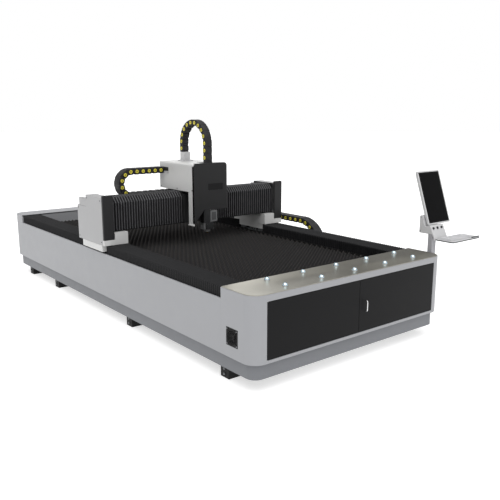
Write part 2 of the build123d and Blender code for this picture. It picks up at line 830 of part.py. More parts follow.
def y_motors():
    """Servo motors inside the end covers."""
    low = SADDLE_Z + 5
    half = GEARBOX_SIZE / 2
    motor = servo(Y_PINION_X, Y_PINION_Y, FOOT_BLOCK_Z, Y_MOTOR_H)
    box = block(Y_PINION_X - half, Y_PINION_X + half, Y_PINION_Y - half, Y_PINION_Y + half, low, FOOT_BLOCK_Z)
    return both(motor + box + pin(Y_PINION_X, Y_PINION_Y, y_pinion_top() + FIT, low, SHAFT_R))


def pinion(x, y, z):
    """Spur pinion, clamped under the end of its shaft."""
    root = PINION_R - 1.2 * PINION_MODULE
    step = math.tau / PINION_TEETH
    outline = []
    for i in range(PINION_TEETH):
        for share, r in ((-0.5, root), (-0.15, PINION_TIP_R), (0.15, PINION_TIP_R)):
            t = (i + share) * step
            outline.append((x + r * math.cos(t), y + r * math.sin(t)))
    return prism_z(outline, z, z + PINION_T)


def x_rails():
    """Cross rails on the top and the front of the beam."""
    end = COVER_IN - 5
    top = prism_x(rail_profile(TOP_RAIL_Y, GBEAM_TOP), -end, end)
    front = [(GBEAM_FRONT - v, FRONT_RAIL_Z + u) for u, v in rail_profile(0, 0)]
    return [top, prism_x(front, -end, end)]


def x_bearings():
    """Four bearing blocks of the carriage."""
    pieces = []
    top = carriage_profile(TOP_RAIL_Y, GBEAM_TOP, X_BEARING_H)
    front = [(GBEAM_FRONT - v, FRONT_RAIL_Z + u) for u, v in carriage_profile(0, 0, X_BEARING_H)]
    for profile in (top, front):
        pieces += both(prism_x(profile, BLOCK_L, 2 * BLOCK_L))
    return pieces


def x_rack():
    """Rack bar on the beam."""
    end = COVER_IN - 5
    return block(-end, end, X_RACK_Y, X_RACK_Y + RACK_SIZE, GBEAM_TOP, GBEAM_TOP + RACK_SIZE)


def x_chain_numbers():
    """Near side, lower level, bend radius and moving end of the cross chain."""
    near = GANTRY_FRONT + X_CHAIN_SETBACK
    low = GBEAM_TOP + X_CHAIN_TRAY_T + CHAIN_LIE + X_CHAIN["height"] / 2
    radius = (X_CHAIN_TOP - low) / 2
    return near, low, radius, -HOUSING_W / 2 - 8


def x_chain():
    near, low, radius, moving = x_chain_numbers()
    return chain(
        X_CHAIN,
        radius,
        moving - X_CHAIN_BEND,
        lambda u, v: (X_CHAIN_BEND + u, near - BOSS_H, low + radius + v),
        (0, 1, 0),
        (0,),
    )


def x_chain_tray():
    """Guide tray behind the beam with the fixed end of the cross chain."""
    near, low, radius, moving = x_chain_numbers()
    floor = GBEAM_TOP + X_CHAIN_TRAY_T
    front = near - 4
    rear = front + X_CHAIN_TRAY_D
    profile = [(front, GBEAM_TOP), (rear, GBEAM_TOP), (rear, floor + 40), (rear - X_CHAIN_TRAY_T, floor + 40),
               (rear - X_CHAIN_TRAY_T, floor), (front, floor)]
    tray = prism_x(profile, -COVER_IN, COVER_IN)
    end = X_CHAIN_BEND + chain_free(X_CHAIN, radius, moving - X_CHAIN_BEND)
    stop = block(end + LINK_GAP, end + 20, near, near + X_CHAIN["width"], floor, floor + 50)
    return tray + stop


# Carriage

def carriage_plate():
    """Machined angle plate with cheeks that carry the housing."""
    half = CARRIAGE_HALF
    rear = X_PINION_Y + 45
    plate = block(-half, half, PLATE_FACE, PLATE_REAR_FACE, GBEAM_Z + 20, PLATE_TOP)
    plate += block(-half, half, PLATE_REAR_FACE, rear, PLATE_Z, PLATE_TOP)
    wall = HOUSING_W / 2 - HOUSING_SHEET
    cheek = block(wall - CHEEK_T, wall, PLATE_REAR_FACE + 20, rear, PLATE_TOP, HOUSING_Z + CHEEK_LAP)
    plate += cheek + mirrored(cheek)
    hole = SHAFT_R * 2
    return plate - block(-hole, hole, X_PINION_Y - hole, X_PINION_Y + hole, PLATE_Z - 1, PLATE_TOP + 1)


def carriage_housing():
    """Sheet housing, open at the front and below, with a deep front strip on the left."""
    half = HOUSING_W / 2
    t = HOUSING_SHEET
    shell = block(-half, half, HOUSING_FRONT, HOUSING_REAR, HOUSING_Z, HOUSING_TOP)
    shell = fillet(shell.edges().filter_by(Axis.Y).group_by(Axis.Z)[-1], COVER_R)
    shell -= block(-half + t, half - t, HOUSING_FRONT - 1, HOUSING_REAR - t, HOUSING_Z - 1, HOUSING_TOP - t - 14)
    shell -= block(-half + COVER_R, half - COVER_R, HOUSING_FRONT - 1, HOUSING_REAR - t, HOUSING_Z, HOUSING_TOP - t)
    slot = Z_CHAIN["width"] / 2 + 6
    shell -= block(-slot, slot, HOUSING_FRONT - 1, z_chain_rear() - 260, HOUSING_TOP - 30, HOUSING_TOP + 1)
    strip_low = GBEAM_Z
    strip = block(-half, -half + t, HOUSING_FRONT, HOUSING_FRONT + STRIP_L, strip_low, HOUSING_Z + 1)
    strip += block(-half - 8, -half + t, HOUSING_FRONT, HOUSING_FRONT + STRIP_L, strip_low, strip_low + 10)
    return shell + strip


def carriage_cover():
    """Black front cover with a bare plate recess and a cheek down its left side."""
    left = -HOUSING_W / 2
    right = HOUSING_W / 2 + 2
    top = HOUSING_TOP + COVER_PROUD
    low = top - COVER_BOTTOM_H - COVER_PROUD
    foot = low - COVER_CHEEK_H
    inner = left + CHEEK_X
    outline = [(left, foot), (inner, low), (right, low), (right, top), (left, top)]
    cover = prism_y(outline, COVER_FACE, HOUSING_FRONT)
    cover = fillet(cover.edges().filter_by(Axis.Y).group_by(Axis.Z)[-1], COVER_R)
    mid = RECESS_X
    z = HOUSING_TOP - RECESS_DROP
    cover -= block(mid - RECESS_W / 2, mid + RECESS_W / 2, COVER_FACE - 1, COVER_FACE + RECESS_DEPTH, z, z + RECESS_H)
    return cover


def x_motor():
    """Servo motor of the carriage, inside the housing."""
    shaft = pin(0, X_PINION_Y, GBEAM_TOP + 2 + PINION_T + FIT, PLATE_TOP, SHAFT_R)
    return servo(0, X_PINION_Y, PLATE_TOP, X_MOTOR_H) + shaft


def module_front():
    """Front face of the lift module."""
    return PLATE_FACE - Z_MODULE_D


def z_module():
    """Closed ball-screw module with its motor on top."""
    half = Z_MODULE_W / 2
    low = PLATE_TOP - 136
    front = module_front()
    body = block(-half, half, front, PLATE_FACE, low, low + Z_MODULE_H)
    groove = block(-half + 12, -half + 20, front - 1, front + 6, low + 8, low + Z_MODULE_H - 20)
    return body - groove - mirrored(groove)


def slide_top():
    """Top of the lift slide, where the lift chain ends."""
    return Z_CHAIN_BEND - z_chain_drop()


def z_slide():
    """Lift slide with the arm under the lift chain."""
    half = SLIDE_W / 2
    front = module_front() - FIT - SLIDE_T
    top = slide_top() - LINK_GAP
    plate = block(-half, half, front, front + SLIDE_T, top - SLIDE_H, top)
    arm_half = Z_CHAIN["width"] / 2
    arm = Z_CHAIN_FRONT - Z_CHAIN["height"] / 2 + 4
    return plate + block(-arm_half, arm_half, arm, front, top - 12, top)


def cutting_head():
    """Cutting head: column, collimator block at the side and the foot that holds the nozzle."""
    rear = module_front() - FIT - SLIDE_T
    front = rear - HEAD_D
    left = -HEAD_W / 2 + HEAD_X
    z1 = HEAD_BOTTOM + HEAD_BASE_H
    column = block(left, left + HEAD_COLUMN_W, front, rear, HEAD_BOTTOM, HEAD_BOTTOM + HEAD_H)
    column = chamfer(column.edges().filter_by(Axis.Z).group_by(Axis.Y)[0], 10)
    base = block(left, left + HEAD_W, front, rear, HEAD_BOTTOM, z1)
    base = chamfer(base.edges().filter_by(Axis.Z).group_by(Axis.Y)[0], 10)
    head = column + base
    side = left + HEAD_COLUMN_W
    head += block(side, side + SIDE_BLOCK_W, front + 8, rear, z1 + 5, z1 + 5 + SIDE_BLOCK_H)
    return head + block(side, side + 8, front + 12, rear, z1, z1 + 6)


def nozzle():
    """Nozzle: neck, ceramic ring and tip."""
    z = HEAD_BOTTOM
    tip = z - NOZZLE_H
    ring_top = z - 7
    ring_low = z - 24
    y = module_front() - FIT - SLIDE_T - HEAD_D / 2
    cone = [(NOZZLE_TIP_R, tip), (NOZZLE_NECK_R - 3, ring_low), (NOZZLE_NECK_R - 3, ring_low + 1)]
    ring = [(NOZZLE_RING_R - 2, ring_low), (NOZZLE_RING_R, ring_low + 2), (NOZZLE_RING_R, ring_top)]
    neck = [(NOZZLE_NECK_R, ring_top), (NOZZLE_NECK_R, z)]
    parts = [turned(HEAD_X, y, 0, profile, NOZZLE_FACETS) for profile in (cone, ring, neck)]
    return parts[1] + parts[0] + parts[2]


def z_chain_rear():
    """Rear leg of the lift chain."""
    return Z_CHAIN_FRONT + 2 * Z_CHAIN_R


def z_chain_drop():
    """Length of the front leg below the bend centre."""
    return chain_free(Z_CHAIN, Z_CHAIN_R, Z_CHAIN_BEND - Z_CHAIN_SEAT)


def z_chain():
    """Lift chain: up from its bracket, over and down to the slide."""
    half = Z_CHAIN["width"] / 2
    middle = Z_CHAIN_FRONT + Z_CHAIN_R
    return chain(
        Z_CHAIN,
        Z_CHAIN_R,
        Z_CHAIN_BEND - Z_CHAIN_SEAT,
        lambda u, v: (-half - BOSS_H, middle + v, Z_CHAIN_BEND - u),
        (1, 0, 0),
        (0, Z_CHAIN["width"] + BOSS_H),
    )


def chain_brackets():
    """Lift chain pedestal on the housing and the cross chain's bracket on its left side."""
    half = Z_CHAIN["width"] / 2
    depth = Z_CHAIN["height"] / 2
    rear = z_chain_rear()
    front = rear - depth - PEDESTAL_FRONT
    pedestal = block(-half, half, front, rear + depth, HOUSING_TOP, Z_CHAIN_SEAT - LINK_GAP)
    pedestal += block(-half - 20, half + 20, front - 12, rear + depth + 12, HOUSING_TOP, HOUSING_TOP + 8)
    near, low, radius, moving = x_chain_numbers()
    side = -HOUSING_W / 2
    edge = X_CHAIN["height"] / 2
    ear = block(moving + LINK_GAP, side, near - 70, near + 60, X_CHAIN_TOP - edge, X_CHAIN_TOP + edge)
    return [pedestal, ear]


# Doors

def door(x0, x1, pivot_x):
    """Pressed door with a folded rim and its pivot pins."""
    z1 = DOOR_Z + DOOR_H
    leaf = block(x0, x1, FRONT, FRONT + DOOR_T, DOOR_Z, z1)
    rim = DOOR_RIM
    leaf -= block(x0 + rim, x1 - rim, FRONT + DOOR_SKIN, FRONT + DOOR_T + 1, DOOR_Z + rim, z1 - rim)
    return leaf + pin(pivot_x, FRONT + PIVOT_IN, DOOR_Z - DOOR_GAP - PIVOT_L, z1 + DOOR_GAP + PIVOT_L, PIVOT_R)


def door_right():
    return door(DOOR_GAP / 2, DOOR_HALF, DOOR_HALF - PIVOT_IN)


def door_left():
    return door(-DOOR_HALF, -DOOR_GAP / 2, -DOOR_HALF + PIVOT_IN)


def door_pull():
    """Upright bow pull."""
    y = FRONT - PULL_OUT
    z0 = PULL_Z + PULL_R
    z1 = PULL_Z + PULL_H - PULL_R
    grip = regular(PULL_X, y, PULL_R, 8)
    pull = prism_z(grip, z0 - PULL_R, z1 + PULL_R)
    for z in (z0, z1):
        pull += prism_y(regular(PULL_X, z, PULL_R * 0.9, 8), y, FRONT)
    return pull


# Cabinet

def mounting_plate():
    """Sheet that carries the drives, standing on the cap floor."""
    y = FRONT + MOUNT_PLATE_Y
    z = Z_SHELL + CAP_WALL
    return block(-MOUNT_PLATE_HALF, MOUNT_PLATE_HALF, y, y + MOUNT_PLATE_T, z, z + MOUNT_PLATE_H)


def module(x, width, depth, low, height):
    """Box module screwed to the front of the mounting plate."""
    y = FRONT + MOUNT_PLATE_Y
    return block(x, x + width, y - depth, y, low, low + height)


def drive_modules():
    """Servo drives, power supply, controller and a contactor row."""
    left = -MOUNT_PLATE_HALF + DRIVE_MARGIN
    low = Z_SHELL + CAP_WALL + DRIVE_RAISE
    front = FRONT + MOUNT_PLATE_Y - DRIVE_D
    pieces = []
    for i in range(DRIVES):
        x = left + i * DRIVE_PITCH
        slot = block(x + DRIVE_W / 4, x + DRIVE_W * 3 / 4, front - 1, front + DRIVE_W / 8,
                     low + DRIVE_H / 10, low + DRIVE_H * 0.7)
        pieces.append(module(x, DRIVE_W, DRIVE_D, low, DRIVE_H) - slot)
    supply = left + DRIVES * DRIVE_PITCH + DRIVE_MARGIN
    pieces.append(module(supply, SUPPLY_W, SUPPLY_D, low, SUPPLY_H))
    pieces.append(module(supply + SUPPLY_W + DRIVE_W, CONTROLLER_W, CONTROLLER_D, low, CONTROLLER_H))
    row = Z_SHELL + CAP_WALL + CONTACTOR_RAISE
    pieces.append(module(left, -2 * left, CONTACTOR_D, row, CONTACTOR_H))
    return pieces


def fan_housing():
    """Square axial fan frame with struts, hub and bearing stub."""
    half = FAN_SIZE / 2
    y = FRONT + FAN_Y
    x0 = -HALF
    x1 = x0 + FAN_DEPTH
    frame = block(x0, x1, y - half, y + half, FAN_Z - half, FAN_Z + half)
    frame -= prism_x(regular(y, FAN_Z, FAN_BORE_R, 32), x0 - 1, x1 + 1)
    hub = prism_x(regular(y, FAN_Z, FAN_HUB_R, 16), x1 - 6, x1)
    strut = block(x1 - 6, x1, y - FAN_BORE_R - 2, y + FAN_BORE_R + 2, FAN_Z - 3, FAN_Z + 3)
    cross = strut + Pos(0, y, FAN_Z) * Rot(90, 0, 0) * Pos(0, -y, -FAN_Z) * strut
    stub = prism_x(regular(y, FAN_Z, FAN_SHAFT_R, PIN_SIDES), x1 - 25, x1 - 5)
    return frame + hub + cross + stub


def fan_rotor():
    """Hub with pitched blades on the bearing stub."""
    y = FRONT + FAN_Y
    x0 = -HALF + 4
    length = FAN_DEPTH - 4 - 6 - 2
    middle = x0 + length / 2
    rotor = prism_x(regular(0, 0, FAN_HUB_R, 16), -length / 2, length / 2)
    reach = FAN_BORE_R - 2.5
    for i in range(FAN_BLADES):
        blade = Pos(0, (reach + FAN_HUB_R - 4) / 2, 0) * Rot(0, 35, 0) * Box(1.8, reach - FAN_HUB_R + 4, 26)
        rotor += Rot(360 / FAN_BLADES * i, 0, 0) * blade
    bore = (FAN_SHAFT_R + PIVOT_FIT) / math.cos(math.pi / PIN_SIDES)
    rotor -= prism_x(regular(0, 0, bore, PIN_SIDES), length / 2 - 17, length / 2 + 17)
    return Pos(middle, y, FAN_Z) * rotor


# Console

def console_post():
    """Square post with two brackets to the cabinet wall."""
    y = FRONT + POST_Y
    post = block(POST_X, POST_X + POST_W, y, y + POST_D, POST_BOTTOM, BOX_BOTTOM)
    for z in (POST_BOTTOM + 60, PANEL_TOP - 80):
        post += block(HALF, POST_X, y, y + POST_D, z, z + 60)
        post += block(HALF, HALF + 6, y - 25, y + POST_D + 25, z - 10, z + 70)
    return post


def screen_plane():
    """Plane of the screen's front, its origin at the lower left corner."""
    t = math.radians(SCREEN_TILT)
    origin = (SCREEN_X, FRONT + SCREEN_Y, SCREEN_Z)
    return Plane(origin=origin, x_dir=(1, 0, 0), z_dir=(0, -math.cos(t), math.sin(t)))


def screen_box(x0, x1, z0, z1, d0, d1):
    """Box in the screen's plane, at depths d0 to d1 behind its front."""
    box = Pos((x0 + x1) / 2, (z0 + z1) / 2, -(d0 + d1) / 2) * Box(x1 - x0, z1 - z0, d1 - d0)
    return screen_plane().location * box


def console_housing():
    """Tilted monitor housing with a recess for the display."""
    b = SCREEN_BORDER
    body = screen_box(0, SCREEN_W, 0, SCREEN_H, 0, SCREEN_T)
    return body - screen_box(b, SCREEN_W - b, b, SCREEN_H - b, -1, 5)


def display():
    """Display glass, flush in its recess."""
    b = SCREEN_BORDER
    return screen_box(b, SCREEN_W - b, b, SCREEN_H - b, 1, 5)


def panel_point(depth, rise):
    """Point (y, z) behind and above the screen's lower edge."""
    t = math.radians(SCREEN_TILT)
    y = FRONT + SCREEN_Y + depth * math.cos(t) + rise * math.sin(t)
    return (y, SCREEN_Z - depth * math.sin(t) + rise * math.cos(t))


def tray_back():
    """Rear edge of the keyboard shelf, where the button panel ends."""
    return FRONT + PANEL_FOOT_Y


def console_box():
    """Control box behind the monitor's foot, with the sloping button panel."""
    back = panel_point(SCREEN_T, 90)
    rear = back[0] + 25
    outline = [
        (tray_back(), TRAY_Z - TRAY_T), (tray_back(), TRAY_Z + 4), (FRONT + PANEL_TOP_Y, SCREEN_Z - 3),
        panel_point(0, -3), panel_point(SCREEN_T, -3), back,
        (rear, back[1]), (rear, BOX_BOTTOM), (FRONT + POST_Y, BOX_BOTTOM),
    ]
    box = prism_x(outline, BOX_X, BOX_X + BOX_W)
    well = BUTTON_SUNK + BUTTON_TRAVEL + FIT
    for i in range(BUTTONS):
        box -= button_place(i) * turned(0, 0, -well, [(BUTTON_R + FIT, 0), (BUTTON_R + FIT, 2 * well)], BUTTON_FACETS)
    return box


def button_place(i):
    """Place of a button on the sloping panel, +Z out of the panel."""
    rise = SCREEN_Z - 3 - TRAY_Z - 4
    depth = PANEL_TOP_Y - PANEL_FOOT_Y
    length = math.hypot(rise, depth)
    normal = (0, -rise / length, depth / length)
    face = Plane(origin=(BOX_X + BUTTON_INSET, tray_back(), TRAY_Z + 4), x_dir=(1, 0, 0), z_dir=normal)
    return face.location * Pos(i * BUTTON_PITCH, length - BUTTON_DROP, 0)


def button(i):
    """Round push button that stands in its well."""
    return button_place(i) * turned(0, 0, -BUTTON_SUNK, [(BUTTON_R, 0), (BUTTON_R, BUTTON_H)], BUTTON_FACETS)


def keyboard_tray():
    """Shelf in front of the control box, with a raised rim."""
    y1 = tray_back()
    z = TRAY_Z
    x1 = SCREEN_X + TRAY_W
    tray = block(SCREEN_X, x1, y1 - TRAY_D, y1, z - TRAY_T, z)
    tray = chamfer(tray.edges().filter_by(Axis.Z).group_by(Axis.Y)[0], 15)
    lip = block(x1 - 120, x1 - 10, y1 - TRAY_D + 6, y1 - TRAY_D + 12, z, z + 10)
    return tray + lip


def keyboard():
    """Slim keyboard on the shelf."""
    y1 = tray_back() - 14
    return block(SCREEN_X + 20, SCREEN_X + 330, y1 - 125, y1, TRAY_Z, TRAY_Z + 12)


# Output

PARTS = {
    "base_frame": base_frame(),
    "plinth_skirt": plinth_skirt(),
    "foot_blocks": foot_blocks(),
    "side_panel_right": side_panel(),
    "side_panel_left": mirrored(side_panel()),
    "front_end_cap": front_end_cap(),
    "rear_end_cap": rear_end_cap(),
    "front_top_plate": front_top_plate(),
    "ball_units": ball_units(),
    "slat_frame": slat_frame(),
    "slats": slats(),
    "slag_tray": slag_tray(),
    "y_rails": y_rails(),
    "y_racks": y_racks(),
    "y_bellows_front": y_bellows(BED_FRONT, SADDLE_FRONT),
    "y_bellows_rear": y_bellows(SADDLE_REAR, BED_REAR),
    "y_chain": y_chain(),
    "y_chain_tray": y_chain_tray(),
    "gantry_beam": gantry_beam(),
    "gantry_feet": gantry_feet(),
    "gantry_end_plates": gantry_end_plates(),
    "gantry_covers": gantry_covers(),
    "y_bearings": y_bearings(),
    "y_motors": y_motors(),
    "y_pinion_right": pinion(Y_PINION_X, Y_PINION_Y, DECK + 2),
    "y_pinion_left": mirrored(pinion(Y_PINION_X, Y_PINION_Y, DECK + 2)),
    "x_rails": x_rails(),
    "x_rack": x_rack(),
    "x_bearings": x_bearings(),
    "x_pinion": pinion(0, X_PINION_Y, GBEAM_TOP + 2),
    "x_bellows_left": x_bellows(-COVER_IN, -CARRIAGE_HALF),
    "x_bellows_right": x_bellows(CARRIAGE_HALF, COVER_IN),
    "x_chain": x_chain(),
    "x_chain_tray": x_chain_tray(),
    "carriage_plate": carriage_plate(),
    "carriage_housing": carriage_housing(),
    "carriage_cover": carriage_cover(),
    "x_motor": x_motor(),
    "z_module": z_module(),
    "z_slide": z_slide(),
    "cutting_head": cutting_head(),
    "nozzle": nozzle(),
    "z_chain": z_chain(),
    "chain_brackets": chain_brackets(),
    "door_left": door_left(),
    "door_right": door_right(),
    "door_pull": door_pull(),
    "mounting_plate": mounting_plate(),
    "drive_modules": drive_modules(),
    "fan_housing": fan_housing(),
    "fan_rotor": fan_rotor(),
    "console_post": console_post(),
    "console_box": console_box(),
    "console_housing": console_housing(),
    "display": display(),
    "keyboard_tray": keyboard_tray(),
    "keyboard": keyboard(),
    "button_left": button(0),
    "button_middle": button(1),
    "button_right": button(2),
}

os.makedirs("parts", exist_ok=True)
for name, shape in PARTS.items():
    if isinstance(shape, list):
        shape = Compound([s for piece in shape for s in piece.solids()])
    export_step(shape, f"parts/{name}.step")
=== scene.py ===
import math

import bmesh
import bpy
from bpy.props import FloatProperty, IntProperty, PointerProperty, StringProperty
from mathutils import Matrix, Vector


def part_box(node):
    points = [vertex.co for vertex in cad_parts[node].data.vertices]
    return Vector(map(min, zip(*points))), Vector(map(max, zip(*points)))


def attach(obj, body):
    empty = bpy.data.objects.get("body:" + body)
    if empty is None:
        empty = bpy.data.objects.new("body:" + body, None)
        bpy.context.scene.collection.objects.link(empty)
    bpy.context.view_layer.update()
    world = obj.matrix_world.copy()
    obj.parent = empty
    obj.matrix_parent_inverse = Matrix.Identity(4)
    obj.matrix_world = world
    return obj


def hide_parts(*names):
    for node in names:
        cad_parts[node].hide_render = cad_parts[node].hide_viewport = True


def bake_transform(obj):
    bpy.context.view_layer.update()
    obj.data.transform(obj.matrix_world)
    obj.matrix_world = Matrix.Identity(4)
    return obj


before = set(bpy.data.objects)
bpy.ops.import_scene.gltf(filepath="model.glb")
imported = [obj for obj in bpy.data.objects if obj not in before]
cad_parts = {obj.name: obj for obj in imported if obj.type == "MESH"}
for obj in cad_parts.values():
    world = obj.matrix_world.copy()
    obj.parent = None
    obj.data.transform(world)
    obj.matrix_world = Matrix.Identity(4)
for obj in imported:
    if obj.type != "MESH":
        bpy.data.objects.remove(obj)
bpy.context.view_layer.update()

bl_info = {
    "name": "Flat-bed cutting machine",
    "version": (1, 0, 0),
    "blender": (4, 5, 0),
    "location": "View3D > Sidebar > Cutter",
    "description": "Dresses the packed frame of a flat-bed fiber laser cutting machine",
    "category": "Object",
}

MM = 0.001

# Corner radii of the casing, the loading plate and the plinth, in millimetres
CORNER, PLATE_CORNER, PLINTH_CORNER = 109, 102, 78.8
# Depth of the caps' folds, half the width of the door opening, and the doors' foot and top
WALL, DOOR_EDGE, DOOR_Z = 12, 890.5, (240.3, 642.7)
# Front face of the gantry's covers
GANTRY_FRONT = -227.5
# Section of the console's post, and its distance from the casing's side
POST_X, POST_Y, POST_SEAT = (1040, 1095), (-2174.5, -2129.5), 1010.7
# A distance far beyond the machine
FAR = 50000


def span(node):
    """Lowest and highest corner of a CAD node, in millimetres."""
    low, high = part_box(node)
    return [c / MM for c in low], [c / MM for c in high]


def sides(node):
    """The same corners as x0, x1, y0, y1, z0, z1."""
    low, high = span(node)
    return low[0], high[0], low[1], high[1], low[2], high[2]


# Colours and node helpers

def linear(code, shade=1.0):
    """Linear colour of an sRGB hex code, dimmed by a shade factor."""
    parts = [int(code[i:i + 2], 16) / 255 for i in (1, 3, 5)]
    lit = [c / 12.92 if c <= 0.04045 else ((c + 0.055) / 1.055) ** 2.4 for c in parts]
    return (*(shade * c for c in lit), 1.0)


def per_mm(size):
    """Pattern scale for a real feature of that size in millimetres."""
    return 1.0 / (size * MM)


def add(tree, kind, sockets=None, **settings):
    """Adds one node; a socket takes a value, the output that feeds it, or a node for its first output."""
    node = tree.nodes.new(kind)
    for key, value in settings.items():
        setattr(node, key, value)
    for key, value in (sockets or {}).items():
        if isinstance(value, bpy.types.Node):
            value = value.outputs[0]
        if isinstance(value, bpy.types.NodeSocket):
            tree.links.new(value, node.inputs[key])
        else:
            node.inputs[key].default_value = value
    return node


def new_finish(name):
    """Empty finish: its material, its node tree and the place on the piece in metres."""
    made = bpy.data.materials.new(name)
    made.use_nodes = True
    return made, made.node_tree, add(made.node_tree, "ShaderNodeTexCoord").outputs["Object"]


def surface(made, tone, colours, dull=None, rough=(), relief=None, strength=0.0, depth=0.0, **levels):
    """Joins a finish up: one pattern mixes two colours, one spreads the roughness, one raises the relief."""
    tree = made.node_tree
    shader = tree.nodes["Principled BSDF"]
    mixed = add(tree, "ShaderNodeMix", {0: tone, 6: colours[0], 7: colours[1]}, data_type="RGBA")
    tree.links.new(mixed.outputs[2], shader.inputs["Base Color"])
    if dull is not None:
        haze = add(tree, "ShaderNodeMapRange", {"Value": dull, "To Min": rough[0], "To Max": rough[1]})
        tree.links.new(haze.outputs["Result"], shader.inputs["Roughness"])
    if relief is not None:
        bump = add(tree, "ShaderNodeBump", {"Height": relief, "Strength": strength, "Distance": depth})
        tree.links.new(bump.outputs["Normal"], shader.inputs["Normal"])
    for key, value in levels.items():
        shader.inputs[key.replace("_", " ")].default_value = value
    return made


# Finishes

def powder_coat(name, colour, gloss=0.42, peel=3.0, shade=0.93, gleam=0.5):
    """Polyester powder baked on sheet steel: a closed film whose faint orange peel softens reflections."""
    made, tree, place = new_finish(name)
    cloud = add(tree, "ShaderNodeTexNoise", {"Vector": place, "Scale": per_mm(700), "Detail": 3.0})
    wipe = add(tree, "ShaderNodeTexNoise", {"Vector": place, "Scale": per_mm(90), "Detail": 5.0})
    skin = add(tree, "ShaderNodeTexNoise", {"Vector": place, "Scale": per_mm(peel), "Detail": 2.0})
    return surface(made, cloud, (linear(colour), linear(colour, shade)), wipe, (gloss - 0.06, gloss + 0.08),
                   skin, 0.12, 0.0006, Specular_IOR_Level=gleam)


def brushed_sheet(name, colour, pale, stretch, rough=0.3, grain=0.9):
    """Stainless sheet brushed on a belt: parallel hairlines that draw reflections out across them."""
    made, tree, place = new_finish(name)
    along = add(tree, "ShaderNodeMapping", {"Vector": place, "Scale": stretch})
    # The hairlines are about 0.2 mm wide; drawn at nearly 1 mm, so that the render still shows them.
    lines = add(tree, "ShaderNodeTexNoise", {"Vector": along, "Scale": per_mm(grain), "Detail": 4.0})
    haze = add(tree, "ShaderNodeTexNoise", {"Vector": place, "Scale": per_mm(260), "Detail": 3.0})
    both = add(tree, "ShaderNodeMath", {0: lines, 1: haze}, operation="MULTIPLY")
    return surface(made, both, (linear(colour), linear(pale)), lines, (rough - 0.08, rough + 0.12),
                   lines, 0.15, 0.0002, Metallic=1.0, Anisotropic=0.5)


def bright_metal(name, colour, rough, mark=14.0):
    """Ground, turned or plated metal: an even shine with faint handling marks."""
    made, tree, place = new_finish(name)
    marks = add(tree, "ShaderNodeTexNoise", {"Vector": place, "Scale": per_mm(mark), "Detail": 6.0})
    return surface(made, marks, (linear(colour), linear(colour, 0.8)), marks, (rough * 0.7, rough * 1.4),
                   marks, 0.05, 0.0003, Metallic=1.0)


def blasted_aluminium(name, colour, rough=0.42):
    """Aluminium milled, bead blasted and anodised: a dense matt grain with a soft metal shine."""
    made, tree, place = new_finish(name)
    # The beads leave pits of about 0.1 mm; drawn at 1.2 mm to show.
    grain = add(tree, "ShaderNodeTexNoise", {"Vector": place, "Scale": per_mm(1.2), "Detail": 2.0})
    cloud = add(tree, "ShaderNodeTexNoise", {"Vector": place, "Scale": per_mm(60), "Detail": 3.0})
    return surface(made, cloud, (linear(colour), linear(colour, 0.86)), grain, (rough - 0.05, rough + 0.1),
                   grain, 0.2, 0.0003, Metallic=0.85)


def scaled_steel(name, colour, scale, edge_z):
    """Laser-cut mild steel slats: blue-black mill scale, scorched and crusted with spatter at the teeth."""
    made, tree, place = new_finish(name)
    height = add(tree, "ShaderNodeSeparateXYZ", {"Vector": place}).outputs["Z"]
    crust = add(tree, "ShaderNodeTexNoise", {"Vector": place, "Scale": per_mm(9), "Detail": 6.0,
                                             "Roughness": 0.65})
    near = add(tree, "ShaderNodeMapRange", {"Value": height, "From Min": edge_z - 0.03, "From Max": edge_z})
    burnt = add(tree, "ShaderNodeMath", {0: near, 1: crust}, operation="MULTIPLY")
    return surface(made, burnt, (linear(colour), linear(scale)), crust, (0.45, 0.8), crust, 0.5, 0.001,
                   Metallic=0.4)


def coated_cloth(name, colour, ridge, thread=2.4, gleam=0.2):
    """Polyester cloth coated with polyurethane, pressed into pleats: a faint weave under a plastic sheen."""
    made, tree, place = new_finish(name)
    # The threads are about 0.4 mm apart; drawn at a few millimetres so that the weave shows.
    warp = add(tree, "ShaderNodeTexWave", {"Vector": place, "Scale": per_mm(thread) / 20, "Distortion": 0.4},
               bands_direction="DIAGONAL")
    weft = add(tree, "ShaderNodeTexNoise", {"Vector": place, "Scale": per_mm(thread), "Detail": 2.0})
    weave = add(tree, "ShaderNodeMath", {0: warp.outputs["Fac"], 1: weft}, operation="MULTIPLY")
    rub = add(tree, "ShaderNodeTexNoise", {"Vector": place, "Scale": per_mm(50), "Detail": 4.0})
    return surface(made, rub, (linear(colour), linear(ridge)), rub, (0.38, 0.55), weave, 0.25, 0.0004,
                   Specular_IOR_Level=gleam)


def moulded_plastic(name, colour, rough=0.5, grain=1.6, shade=0.85, gleam=0.4):
    """Injection-moulded polyamide or ABS: an even colour with the fine spark-eroded grain of its mould."""
    made, tree, place = new_finish(name)
    # The grain is about 0.2 mm; drawn at 1.6 mm to show.
    fine = add(tree, "ShaderNodeTexNoise", {"Vector": place, "Scale": per_mm(grain), "Detail": 2.0})
    flow = add(tree, "ShaderNodeTexNoise", {"Vector": place, "Scale": per_mm(45), "Detail": 2.0})
    return surface(made, flow, (linear(colour), linear(colour, shade)), fine, (rough - 0.06, rough + 0.08),
                   fine, 0.15, 0.0003, Specular_IOR_Level=gleam)


def screen_glass(name, colour):
    """Etched cover glass over a dark panel: reflections scattered to a haze, with faint finger marks."""
    made, tree, place = new_finish(name)
    smear = add(tree, "ShaderNodeTexNoise", {"Vector": place, "Scale": per_mm(70), "Detail": 5.0})
    return surface(made, smear, (linear(colour), linear(colour, 0.8)), smear, (0.42, 0.58),
                   Specular_IOR_Level=0.05)


